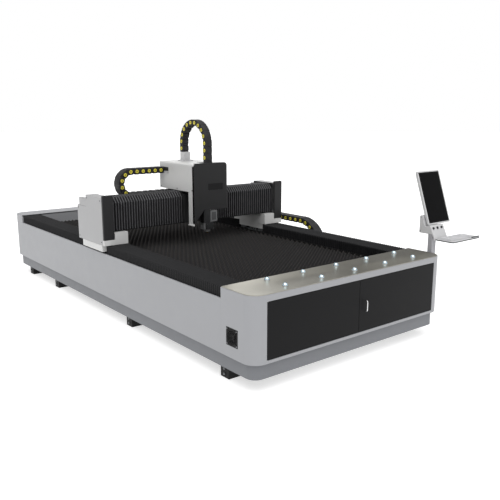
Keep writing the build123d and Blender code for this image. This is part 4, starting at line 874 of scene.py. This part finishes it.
class CUTTER_OT_chains(CutterOperator):
    """Links the three energy chains: cross, long and lift"""
    bl_idname = "cutter.chains"
    bl_label = "Energy chains"

    def run(self, name, bodies, links, pitch, radius, upper, frame_at, size, caps, side, ends):
        """Three pieces of one chain: moving run, bend and fixed run."""
        values = bpy.context.scene.cutter_chains
        height, width = size
        parts = [Piece(), Piece(), Piece()]
        arc_length = math.pi * radius
        zero, side = Vector(frame_at(0, 0)), Vector(side)
        for k in range(links):
            s = (k + 0.5) * pitch
            if s < upper:
                run, lift, turn, which = upper - s, radius, 0.0, 0
            elif s < upper + arc_length:
                turn = (s - upper) / radius
                run, lift, which = -radius * math.sin(turn), radius * math.cos(turn), 1
            else:
                run, lift, turn, which = s - upper - arc_length, -radius, math.pi, 2
            centre = Vector(frame_at(run, lift)) + side * (width / 2)
            along = Vector(frame_at(math.cos(turn), math.sin(turn))) - zero
            out = Vector(frame_at(-math.sin(turn), math.cos(turn))) - zero
            link(parts[which], centre, along, out, side, pitch, height, width, values.boss, values.wall, caps)
        for part, tag, (start, end) in zip(parts, ("moving_run", "bend", "fixed_run"), ends):
            part.bend(f"{name}_{tag}", bodies, start, end, "chain_plastic", [name], 30)

    def execute(self, context):
        # A bend goes half as far as its moving end; each piece's two ends are given as far points beside it.
        near, z, r, bend, moving, fixed = 105.5, 1181.15, 114.85, -545, -196, -0.8
        self.run("x_chain", ("gantry", "carriage"), 19, 66, r, moving - bend,
                 lambda u, v: (bend + u, near, z + v), (60, 100), (-1,), (0, 1, 0),
                 (((2 * bend - moving, 0, 0), (moving, 0, 0)), ((bend, near - FAR, 0), (bend, near + FAR, 0)),
                  ((fixed, 0, 0), (2 * bend - fixed, 0, 0))))
        near, z, r, bend, moving, fixed = 1042, 467, 280, -522.5, 267.5, 348.9
        self.run("y_chain", ("bed", "gantry"), 33, 77, r, moving - bend,
                 lambda u, v: (near, bend + u, z + v), (57, 100), (-1, 1), (1, 0, 0),
                 (((0, 2 * bend - moving, 0), (0, moving, 0)), ((near - FAR, bend, 0), (near + FAR, bend, 0)),
                  ((0, fixed, 0), (0, 2 * bend - fixed, 0))))
        middle, z, r, seat, low = -167.5, 1555, 200, 1470, 1263.3
        self.run("z_chain", ("carriage", "lift"), 15, 67, r, z - seat,
                 lambda u, v: (-35, middle + v, z - u), (52, 70), (-1, 1), (1, 0, 0),
                 (((0, 0, seat), (0, 0, 2 * z - seat)), ((0, middle - FAR, z), (0, middle + FAR, z)),
                  ((0, 0, 2 * z - low), (0, 0, low))))
        dress({"y_chain_tray": "cover_powder_coat", "x_chain_tray": "cover_powder_coat"})
        return {"FINISHED"}


# Gantry

class GantrySettings(bpy.types.PropertyGroup):
    sheet: FloatProperty(name="Sheet", description="Thickness of the end covers, in mm", default=4.0)


class CUTTER_OT_gantry(CutterOperator):
    """Folds the gantry's end covers and fits their black front plates"""
    bl_idname = "cutter.gantry"
    bl_label = "Gantry"

    def cover(self, piece, s, t):
        """One end cover: a folded band, its outer cheek, a black inner cheek and a rounded top box."""
        *_, z0, z1 = sides("gantry_covers")
        y0, y1, y2, zs = GANTRY_FRONT, 97.5, 287.5, 1009.7
        band = [(y0, z0), (y0, z1), (y1, z1), (y1, zs), (y2, zs), (y2, z0), (y2 - t, z0), (y2 - t, zs - t),
                (y1 - t, zs - t), (y1 - t, z1 - t), (y0 + t, z1 - t), (y0 + t, z0)]
        bump = arc(231.5, 1068, 16, 0, 90, 5) + arc(113.5, 1068, 16, 90, 90, 5) + [(97.5, zs), (247.5, zs)]
        piece.prism("x", band, s * 932, s * 1029, "cover_powder_coat", 1)
        piece.prism("x", band[:6], s * 1026, s * 1034, "cover_powder_coat", 3)
        cheek = [(y0, 740.3)] + band[1:5] + [(y2, 740.3)]
        piece.prism("x", cheek, s * 930, s * 934, "black_powder_coat", 1.5)
        piece.prism("x", bump, s * 1003, s * 1033, "cover_powder_coat", 4)
        for y, z in ((-200, 720), (260, 720), (-200, 1090), (70, 1090), (260, 985)):
            piece.screw((s * 1033.5, y, z), (s, 0, 0), 4, "black_powder_coat")

    def execute(self, context):
        covers = Piece()
        for s in (-1, 1):
            self.cover(covers, s, context.scene.cutter_gantry.sheet)
        covers.blocks("cover_powder_coat", 1, (1042, 1142, 267.5, 273.5, 718.5, 775.5),
                      (1034, 1042, 267.5, 285.5, 718.5, 775.5))
        covers.place("gantry_cover_sheets", "gantry", "cover_paint", ["gantry_covers"])

        _, out, y0, y1, z0, z1 = sides("gantry_end_plates")
        outline = [(934, z0), (out, z0)]
        outline += arc(out - 12, z1 - 12, 12, 0, 90, 5) + arc(946, z1 - 12, 12, 90, 90, 5)
        plates = Piece()
        for s in (-1, 1):
            plates.prism("y", [(s * u, v) for u, v in outline], y0, y1, "black_powder_coat", 2.5)
        plates.place("black_front_plates", "gantry", "black_paint", ["gantry_end_plates"])
        milled = ("y_bearings", "y_pinion_left", "y_pinion_right", "x_rack", "x_bearings", "x_pinion")
        dress({"gantry_beam": "frame_black_enamel", "gantry_feet": "housing_powder_coat",
               "y_motors": "motor_enamel", "x_rails": "ground_rail_steel",
               **dict.fromkeys(milled, "milled_steel")})
        return {"FINISHED"}


# Carriage

class CarriageSettings(bpy.types.PropertyGroup):
    corner: FloatProperty(name="Corner", description="Corner radius of the housing, in mm", default=18.0)
    cover_corner: FloatProperty(name="Cover corner", description="Corner radius of the black cover, in mm",
                                default=28.0)


class CUTTER_OT_carriage(CutterOperator):
    """Folds the carriage housing, its black front cover and the chain brackets"""
    bl_idname = "cutter.carriage"
    bl_label = "Carriage"

    def housing(self, r, z0=1117, t=4):
        """Arched sheet, open along the middle of its front, a rear wall with vents, and a side strip."""
        coat = "housing_powder_coat"
        _, half, y0, y1, _, top = sides("carriage_housing")
        over, under = arc(half - r, top - r, r, 0, 90, 8), arc(half - r, top - r, r - t, 90, -90, 8)
        piece = Piece()
        for s in (-1, 1):
            for end, a, b in ((41, y0, GANTRY_FRONT), (0, GANTRY_FRONT, y1 - 2)):
                band = [(half, z0)] + over + [(end, top), (end, top - t)] + under + [(half - t, z0)]
                piece.prism("y", [(s * x, z) for x, z in band], a, b, coat)
        shoulders = over + [(-x, z) for x, z in over[::-1]]
        piece.prism("y", [(half, z0)] + shoulders + [(-half, z0)], y1 - t, y1, coat, 1.5)
        piece.block(-half, -half + t, y0, y0 + 93, 800, z0 + 1, coat, 1)
        piece.block(-half - 8, -half + t, y0, y0 + 93, 800, 810, coat, 2)
        for z in range(1180, 1307, 18):
            piece.block(-90, 90, y1 - 1, y1 + 2, z, z + 8, "black_powder_coat", 1)
        for y in (-380, -120, 170):
            for s in (-1, 1):
                piece.screw((s * (half - 0.5), y, z0 + 18), (s, 0, 0), 4.5, "black_powder_coat")
        piece.place("carriage_housing_sheet", "carriage", "cover_paint", ["carriage_housing"])

    def front_cover(self, r):
        """Black cover: a face with a shallow empty recess, notched at its foot, and a rim folded back."""
        coat = "black_powder_coat"
        left, right, face, _, foot, top = sides("carriage_cover")
        back, base, inner = face + 4, top - 441, left + 110
        a, b, low, high = -28, 140, top - 256, top - 194
        crown = arc(right - r, top - r, r, 0, 90, 8) + arc(left + r, top - r, r, 90, 90, 8)
        piece = Piece()
        piece.prism("y", [(right, high)] + crown + [(left, high)], face, back, coat)
        piece.blocks(coat, 0, (left, a, face, back, low, high), (b, right, face, back, low, high))
        piece.block(a, b, face + 1.5, back, low, high, "recess_powder_coat", 0)
        skirt = [(left, foot), (inner, base), (right, base), (right, low), (left, low)]
        piece.prism("y", skirt, face, back, coat)
        within = arc(left + r, top - r, r - 3, 180, -90, 8) + arc(right - r, top - r, r - 3, 90, -90, 8)
        rim = [(right, base)] + crown + [(left, foot), (left + 1.6, foot)] + within + [(right - 1.6, base)]
        piece.prism("y", rim, back, back + 24, coat)
        piece.place("black_front_cover", "carriage", "black_paint", ["carriage_cover"])

    def execute(self, context):
        values = context.scene.cutter_carriage
        self.housing(values.corner)
        self.front_cover(values.cover_corner)
        roof, plate, seat = 1380, 1388, 1469.4
        brackets = Piece()
        brackets.block(-35, 35, -18, 58.5, roof, seat, "console_powder_coat", 4)
        brackets.block(-55, 55, -38, 70.5, roof, plate, "console_powder_coat", 2)
        for x, y in ((-46, -29), (46, -29), (-46, 62), (46, 62)):
            brackets.screw((x, y, plate), (0, 0, 1), 4)
        for name, z0, z1 in (("black_powder_coat", 1290, 1326), ("console_powder_coat", 1268, 1284)):
            brackets.block(-195.4, -188, 35.5, 165.5, z0, z1, name, 2)
        brackets.place("chain_bracket_plates", "carriage", "black_paint", ["chain_brackets"])
        dress({"carriage_plate": "black_powder_coat", "x_motor": "motor_enamel"})
        return {"FINISHED"}


class CUTTER_OT_head(CutterOperator):
    """Mills the lift module, the slide and the cutting head with its nozzle"""
    bl_idname = "cutter.head"
    bl_label = "Cutting head"

    def lift(self):
        """The sealed lift module and the slide plate that it moves."""
        dark = "dark_anodised_aluminium"
        x0, x1, y0, y1, z0, z1 = sides("z_module")
        module = Piece()
        module.block(x0, x1, y0 + 6, y1, z0, z1, dark, 2)
        module.blocks(dark, 1, (x0, x0 + 11, y0, y0 + 7, z0, z1), (x1 - 11, x1, y0, y0 + 7, z0, z1))
        module.block(x0 + 21, x1 - 21, y0, y0 + 7, z0, z1, "ground_rail_steel", 1)
        for z in (z0 + 5, z1 - 5):
            module.block(x0, x1, y0 + 0.4, y1, z - 5, z + 5, "black_powder_coat", 1.5)
        module.place("lift_module_body", "carriage", "machined_steel", ["z_module"])

        x0, x1, y0, y1, z0, z1 = sides("z_slide")
        front = y1 - 21
        slide = Piece()
        slide.block(x0, x1, front, y1, z0, z1, dark, 2)
        slide.block(-35, 35, y0, front + 1, z1 - 12, z1, dark, 1.5)
        for x in (x0 + 10, x1 - 10):
            for k in range(6):
                slide.screw((x, front + 0.5, z0 + 20 + k * 70), (0, -1, 0), 4)
        slide.place("lift_slide_plate", "lift", "machined_steel", ["z_slide"])

    def head(self):
        """The head: a bevelled body with black bands over a wider foot, and a housing at its right."""
        dark, light = "dark_anodised_aluminium", "blasted_aluminium"
        x0, _, y0, y1, z0, z1 = sides("cutting_head")
        mid, side = z0 + 63, x0 + 75

        def body(grow):
            """Plan of the body with two bevelled corners, grown by a band."""
            a, b, c = x0 + 10 - grow, side - 10 + grow, y0 - grow
            return [(a, c), (b, c), (side + grow, c + 10), (side + grow, y1), (x0, y1), (x0, c + 10)]

        piece = Piece()
        piece.prism("z", body(0), z0 + 64, z1, dark, 1.5)
        for z in (mid + 60, mid + 130, mid + 205):
            piece.prism("z", body(1), z, z + 5, "black_powder_coat", 1)
        piece.block(x0, x0 + 18, y0 + 8, y1, z0, mid, light, 2)
        foot = [(x0 + 20, y0), (x0 + 100, y0), (x0 + 110, y0 + 10), (x0 + 110, y1), (x0 + 20, y1)]
        piece.prism("z", foot, z0, mid, dark, 2)
        piece.block(x0 + 22, x0 + 108, y0 + 3, y1 - 2, z0 - 1, z0 + 10, light, 2)
        piece.block(side, side + 80, y0 + 8, y1, mid + 5, mid + 115, light, 3)
        piece.block(side + 14, side + 66, y0 + 6.5, y0 + 12, mid + 22, mid + 100,
                    "grey_anodised_aluminium", 2)
        piece.block(side, side + 8, y0 + 12, y1, mid, mid + 6, light, 1)
        for x, z in ((7, 12), (73, 12), (7, 108), (73, 108)):
            piece.screw((side + x, y0 + 8.4, mid + z), (0, -1, 0), 3.2)
        for x in (x0 + 32, x0 + 98):
            piece.screw((x, y0 + 3, mid - 12), (0, -1, 0), 3.2)
        for x in (side + 20, side + 56):
            piece.turned((x, y0 + 40, mid + 112), (0, 0, 1), [(9, 0), (9, 8), (7.5, 9), (7.5, 16), (6, 18)],
                         "satin_chrome", 24)
        piece.place("cutting_head_body", "lift", "head_aluminium", ["cutting_head"])

    def execute(self, context):
        self.lift()
        self.head()
        x0, x1, y0, y1, _, z1 = sides("nozzle")
        nozzle = Piece()
        for profile, name, count in (
                ([(18, 0), (18, 8)], "satin_chrome", 40),
                ([(26, 7), (28, 8.5), (28, 12), (27, 12.6), (27, 13.6), (28, 14.2), (28, 22), (26, 24)],
                 "blasted_aluminium", 40),
                ([(19, 23.5), (19, 26), (17, 27)], "nozzle_ceramic", 36),
                ([(13, 26.5), (13, 30), (9, 34), (4.5, 39.5), (3.4, 40), (1.2, 39.6)], "turned_brass", 32)):
            nozzle.turned(((x0 + x1) / 2, (y0 + y1) / 2, z1), (0, 0, -1), profile, name, count)
        nozzle.place("nozzle_turned", "lift", "nozzle_metal", ["nozzle"])
        return {"FINISHED"}


# Cabinet

class CabinetSettings(bpy.types.PropertyGroup):
    fan_blades: IntProperty(name="Fan blades", description="Blades of the cabinet fan", default=7)


class CUTTER_OT_doors(CutterOperator):
    """Presses the two cabinet doors and bends their pull"""
    bl_idname = "cutter.doors"
    bl_label = "Doors"

    def execute(self, context):
        z0, z1 = DOOR_Z
        for node, s in (("door_left", -1), ("door_right", 1)):
            x0, x1, y0, y1, _, _ = sides(node)
            door = Piece()
            door.block(x0, x1, y0, y0 + 3, z0, z1, "door_powder_coat", 1.4)
            hem, fold = 18, y0 + 2.5
            for x in (x0, x1 - hem):
                door.block(x, x + hem, fold, y1, z0, z1, "door_powder_coat", 1)
            for z in (z0, z1 - hem):
                door.block(x0 + hem, x1 - hem, fold, y1, z, z + hem, "door_powder_coat", 1)
            for z in (z0 - 11, z1 - 1):
                door.turned((s * 881.5, -2306.5, z), (0, 0, 1), [(3.9, 0), (3.9, 12)], "satin_chrome", 24)
            door.place(node + "_leaf", node, "door_paint", [node])
        x0, x1, y0, y1, z0, z1 = sides("door_pull")
        x, y, z0, z1 = (x0 + x1) / 2, y0 + 5, z0 + 5, z1 - 5
        bow = [(x, y1, z0)] + [(x, y + 9 - 9 * math.sin(t), z0 + 9 - 9 * math.cos(t)) for t in
                               (math.pi / 2 * k / 5 for k in range(6))]
        bow += [(p[0], p[1], z0 + z1 - p[2]) for p in reversed(bow)]
        pull = Piece()
        pull.tube(bow, 4.6, "satin_chrome", 16)
        pull.place("door_pull_bow", "door_right", "chrome_pull", ["door_pull"])
        return {"FINISHED"}


class CUTTER_OT_cabinet(CutterOperator):
    """Mounts the drives on their plate and the fan in the cabinet's wall"""
    bl_idname = "cutter.cabinet"
    bl_label = "Cabinet"

    def drives(self, z=350.5):
        """Four servo drives, a power supply and a controller in one row, and contactors below them."""
        back = span("drive_modules")[1][1]
        piece = Piece()
        for k in range(4):
            x, y = -600 + 110 * k, back - 140
            piece.block(x, x + 80, y + 12, back, z, z + 210, "drive_abs", 2)
            piece.block(x + 3, x + 77, y + 1, y + 13, z + 4, z + 206, "drive_abs", 3)
            piece.block(x + 20, x + 60, y, y + 3, z + 160, z + 185, "etched_screen_glass", 1)
            for j in range(6):
                piece.block(x + 14, x + 66, y, y + 4, z + 20 + 20 * j, z + 32 + 20 * j, "fan_polyamide", 1)
            for j in range(7):
                piece.block(x + 80, x + 84, y + 20 + 16 * j, y + 26 + 16 * j, z + 10, z + 200,
                            "milled_steel", 0.5)
        piece.block(40, 260, back - 60, back, z, z + 130, "zinc_spangle", 2)
        for x in range(52, 233, 20):
            piece.block(x, x + 8, back - 61, back - 58, z + 20, z + 110, "fan_polyamide", 0.5)
        piece.block(340, 590, back - 90, back, z, z + 180, "drive_abs", 3)
        piece.block(352, 578, back - 92, back - 88, z + 110, z + 168, "bezel_abs", 1.5)
        for x in range(356, 553, 28):
            piece.block(x, x + 20, back - 93, back - 88, z + 20, z + 46, "key_abs", 1)
        for j in range(24):
            x = -600 + 50 * j
            piece.block(x + 1, x + 49, back - 55, back, 260.5, 320.5, "drive_abs", 2)
            name = "button_dark" if j % 3 else "key_abs"
            piece.block(x + 16, x + 34, back - 58, back - 54, 282, 300, name, 1)
        piece.place("drive_modules_row", "bed", "drive_plastic", ["drive_modules"])

    def fan_frame(self, x, deep, y, z):
        """Square fan frame with its spokes, motor hub, wire guard and screws."""
        def at(x, r, t):
            return x, y + r * math.cos(t), z + r * math.sin(t)

        piece = Piece()
        outer = rounded(y - 65, y + 65, z - 65, z + 65, 7, 9)
        bore = [at(0, 60, math.atan2(v - z, u - y))[1:] for u, v in outer]
        rings = [spread("x", outer, x), spread("x", outer, x + deep), spread("x", bore, x + deep),
                 spread("x", bore, x), spread("x", outer, x)]
        bmesh.ops.recalc_face_normals(piece.mesh, faces=piece.skin(rings, "fan_polyamide", ends=False))
        for k in range(4):
            t = math.pi / 4 + math.pi / 2 * k
            piece.tube([at(x + deep - 4, 18, t), at(x + deep - 4, 61, t)], 3, "fan_polyamide", 8)
            piece.tube([at(x - 1.5, 12, t), at(x - 1.5, 74, t)], 1.3, "black_powder_coat", 8)
            piece.screw(at(x + 0.5, 74, t), (-1, 0, 0), 5)
        piece.turned((x + deep - 6, y, z), (1, 0, 0), [(21, 0), (21, 6)], "fan_polyamide", 32)
        piece.turned((x + deep - 25, y, z), (1, 0, 0), [(3.9, 0), (3.9, 20)], "satin_chrome", 20)
        for r in (14, 26, 38, 50, 60):
            piece.tube([at(x - 1.5, r, math.tau * k / 40) for k in range(41)], 1.3, "black_powder_coat", 8)
        piece.place("fan_frame", "bed", "fan_plastic", ["fan_housing"])

    def fan_rotor(self, y, z, blades):
        """Moulded hub with twisted blades; each row is radius, pitch angle and chord."""
        x0, x1, *_ = sides("fan_rotor")
        piece = Piece()
        piece.turned((x0, y, z), (1, 0, 0), [(12, 0), (19, 1), (21, 4), (21, x1 - x0)], "fan_polyamide", 36)
        for k in range(blades):
            rings = []
            for r, pitch, chord in ((19, 48, 15), (32, 40, 20), (45, 33, 24), (57, 28, 26)):
                ring = []
                p = math.radians(pitch)
                for c, off in ((-1, 0), (-0.4, 1.2), (0.3, 1.2), (1, 0), (0.3, -0.5), (-0.4, -0.5)):
                    along = c * chord / 2
                    dx, dt = along * math.sin(p) + off * math.cos(p), along * math.cos(p) - off * math.sin(p)
                    a = math.tau * k / blades + dt / r
                    ring.append(((x0 + x1) / 2 + dx, y + r * math.cos(a), z + r * math.sin(a)))
                rings.append(ring)
            piece.skin(rings, "fan_polyamide")
        piece.place("fan_rotor_moulded", "fan_rotor", "fan_plastic", ["fan_rotor"])

    def execute(self, context):
        self.drives()
        dress({"mounting_plate": "zinc_spangle"})
        x0, x1, y0, y1, z0, z1 = sides("fan_housing")
        y, z = (y0 + y1) / 2, (z0 + z1) / 2
        self.fan_frame(x0, x1 - x0, y, z)
        self.fan_rotor(y, z, context.scene.cutter_cabinet.fan_blades)
        return {"FINISHED"}


# Console

class ConsoleSettings(bpy.types.PropertyGroup):
    tilt: FloatProperty(name="Tilt", description="Backward tilt of the monitor, in degrees", default=19.0)


class CUTTER_OT_console(CutterOperator):
    """Builds the operator console: post, control box, monitor, shelf and keyboard"""
    bl_idname = "cutter.console"
    bl_label = "Console"

    # Lower front edge of the monitor, lower edge of the button panel, and the panel's depth and rise
    seat, panel, slope = (-2126.5, 913), (-2200, 808), (47.5, 102)

    def tilt_piece(self, piece, origin, up, out):
        """Stands a piece that was laid out flat on its sloping plane."""
        for vert in piece.mesh.verts:
            u, v, w = (c / MM for c in vert.co)
            vert.co = [(o + x * u + p * v + q * w) * MM for o, x, p, q in zip(origin, (1, 0, 0), up, out)]

    def post(self):
        """Square post on two brackets, each bolted on with four screws."""
        piece = Piece()
        (x0, x1), (y0, y1) = POST_X, POST_Y
        # The post takes the darker copy of the console paint: painted shade.
        piece.block(x0, x1, y0, y1, 230, 840, "post_powder_coat", 4)
        for z in (290, 531.9):
            piece.blocks("post_powder_coat", 2, (POST_SEAT, x0 + 1, y0, y1, z, z + 60),
                         (POST_SEAT, POST_SEAT + 6, y0 - 25, y1 + 25, z - 10, z + 70))
            for y in (y0 - 15.5, y1 + 15.5):
                for dz in (0, 60):
                    piece.screw((POST_SEAT + 5.8, y, z + dz), (1, 0, 0), 5)
        piece.block(x0 - 2, x1 + 2, y0 - 2, y1 + 2, 226, 234, "bezel_abs", 2)
        piece.place("console_post_tube", "bed", "console_paint", ["console_post"])

    def box(self, tilt):
        """Control box: its front slopes as the button panel, and its top is cut to the monitor's foot."""
        def point(depth, rise):
            return (self.seat[0] + depth * math.cos(tilt) + rise * math.sin(tilt),
                    self.seat[1] - depth * math.sin(tilt) + rise * math.cos(tilt))

        rear = span("console_box")[1][1]
        (y, z), (dy, dz), back = self.panel, self.slope, point(32, 90)
        curve = [(y + dy * k / 8, z + dz * (k / 8)) for k in range(9)]
        outline = [(y, 792)] + curve + [point(0, -3), point(32, -3), back, (rear, back[1]), (rear, 840),
                                        (POST_Y[0], 840)]
        piece = Piece()
        piece.prism("x", outline, 1035, 1215, "console_powder_coat", 2.5)
        for z in (860, 975):
            piece.screw((1035.2, rear - 12, z), (-1, 0, 0), 3.5)
        piece.place("control_box_shell", "bed", "cover_paint", ["console_box"])

    def monitor(self, tilt):
        """Monitor casing with its rear bulge and vents, and the glass in it."""
        sin, cos = math.sin(tilt), math.cos(tilt)
        plane = ((1050, *self.seat), (0, sin, cos), (0, -cos, sin))
        casing = Piece()
        rings = [spread("z", rounded(*form), level) for form, level in (
            ((14, 291, 14, 454, 9, 5), -32), ((0, 305, 0, 468, 9, 5), -15),
            ((0, 305, 0, 468, 9, 5), -1.5), ((1.5, 303.5, 1.5, 466.5, 8, 5), 0),
            ((12, 293, 12, 456, 4, 5), 0), ((12, 293, 12, 456, 4, 5), -6))]
        casing.skin(rings, "console_powder_coat")
        casing.prism("z", rounded(60, 245, 90, 380, 8, 4), -33, -31, "console_powder_coat", 1)
        for v in range(120, 217, 12):
            casing.block(90, 215, v, v + 5, -34, -32.5, "bezel_abs", 0.5)
        self.tilt_piece(casing, *plane)
        casing.place("monitor_housing", "bed", "console_paint", ["console_housing"])
        glass = Piece()
        glass.prism("z", rounded(12.2, 292.8, 12.2, 455.8, 4, 5), -5.8, -1.5, "bezel_abs")
        glass.prism("z", rounded(24, 281, 24, 444, 2, 3), -1.6, -1.1, "etched_screen_glass")
        self.tilt_piece(glass, *plane)
        glass.place("display_glass", "bed", "screen_glass", ["display"])

    def buttons(self):
        """Three round caps on the sloping panel."""
        dy, dz = self.slope
        length = math.hypot(dz, dy)
        plane = ((1064, *self.panel), (0, dy / length, dz / length), (0, -dz / length, dy / length))
        for k, node in enumerate(("button_left", "button_middle", "button_right")):
            piece = Piece()
            cap = [(10.6, 0), (10.6, 7.2), (9.6, 8), (6, 8.4), (0.3, 8.5)]
            piece.turned((56 * k, length - 24, -1), (0, 0, 1), cap, "button_dark", 32)
            self.tilt_piece(piece, *plane)
            piece.place(node + "_cap", node, "button_plastic", [node])

    def shelf(self):
        """Shelf with bevelled front corners over a dark layer whose edges are painted shade, a dark lip as a
        painted shadow line, and the keyboard on it.
        """
        x0, x1, ya, yb, _, _ = sides("keyboard_tray")
        z = 804

        def plan(inset):
            """Outline with two bevelled front corners, set in."""
            a, b, c = x0 + inset, x1 - inset, ya + inset
            return [(a, yb), (a, c + 15), (a + 15, c), (b - 15, c), (b, c + 15), (b, yb)]

        tray = Piece()
        # The dark layer under the top paints shade along the shelf's edges.
        tray.prism("z", plan(0), z - 12, z - 3, "drive_abs", 1.5)
        tray.prism("z", plan(1), z - 3.2, z, "console_powder_coat", 1)
        # A dark lip at the front right: a painted shadow line.
        tray.block(x1 - 120, x1 - 10, ya + 6, ya + 12, z - 1, z + 10, "drive_abs", 2)
        tray.place("keyboard_shelf", "bed", "console_paint", ["keyboard_tray"])
        x0, x1, y0, y1, z0, z1 = sides("keyboard")
        keys = Piece()
        keys.block(x0, x1, y0, y1, z0, z1 - 5, "key_abs", 2)
        for row in range(6):
            for column in range(17):
                # The space bar takes up five keys of the first row.
                if row == 0 and 5 <= column <= 8:
                    continue
                x, y = x0 + 8 + 17.4 * column, y0 + 8 + 18.6 * row
                wide = 86 if (row, column) == (0, 4) else 15.4
                keys.block(x, x + wide, y, y + 16, z1 - 6, z1, "key_abs", 1.5)
        keys.place("keyboard_moulded", "bed", "key_plastic", ["keyboard"])

    def execute(self, context):
        tilt = math.radians(context.scene.cutter_console.tilt)
        self.post()
        self.box(tilt)
        self.monitor(tilt)
        self.buttons()
        self.shelf()
        return {"FINISHED"}


# Panel and registration

class CUTTER_PT_panel(bpy.types.Panel):
    """Lists the makers of the machine's pieces"""
    bl_label = "Flat-bed cutting machine"
    bl_space_type = "VIEW_3D"
    bl_region_type = "UI"
    bl_category = "Cutter"

    def draw(self, context):
        for name, kind in SETTINGS.items():
            box = self.layout.box()
            for key in kind.__annotations__:
                box.prop(getattr(context.scene, name), key)
        for operator in OPERATORS:
            self.layout.operator(operator.bl_idname)


SETTINGS = {"cutter_colours": ColourSettings, "cutter_stage": StageSettings, "cutter_bed": BedSettings,
            "cutter_covers": CoverSettings, "cutter_chains": ChainSettings, "cutter_gantry": GantrySettings,
            "cutter_carriage": CarriageSettings, "cutter_cabinet": CabinetSettings,
            "cutter_console": ConsoleSettings}
OPERATORS = (CUTTER_OT_stage, CUTTER_OT_shell, CUTTER_OT_feet, CUTTER_OT_loading_plate, CUTTER_OT_table,
             CUTTER_OT_way_covers, CUTTER_OT_apron, CUTTER_OT_chains, CUTTER_OT_gantry, CUTTER_OT_carriage,
             CUTTER_OT_head, CUTTER_OT_doors, CUTTER_OT_cabinet, CUTTER_OT_console)


def register():
    for kind in (*SETTINGS.values(), *OPERATORS, CUTTER_PT_panel):
        bpy.utils.register_class(kind)
    for name, kind in SETTINGS.items():
        setattr(bpy.types.Scene, name, PointerProperty(type=kind))


def unregister():
    for name in SETTINGS:
        delattr(bpy.types.Scene, name)
    for kind in reversed((*SETTINGS.values(), *OPERATORS, CUTTER_PT_panel)):
        bpy.utils.unregister_class(kind)


def main():
    register()
    for operator in OPERATORS:
        group, name = operator.bl_idname.split(".")
        getattr(getattr(bpy.ops, group), name)()


if __name__ == "__main__":
    main()
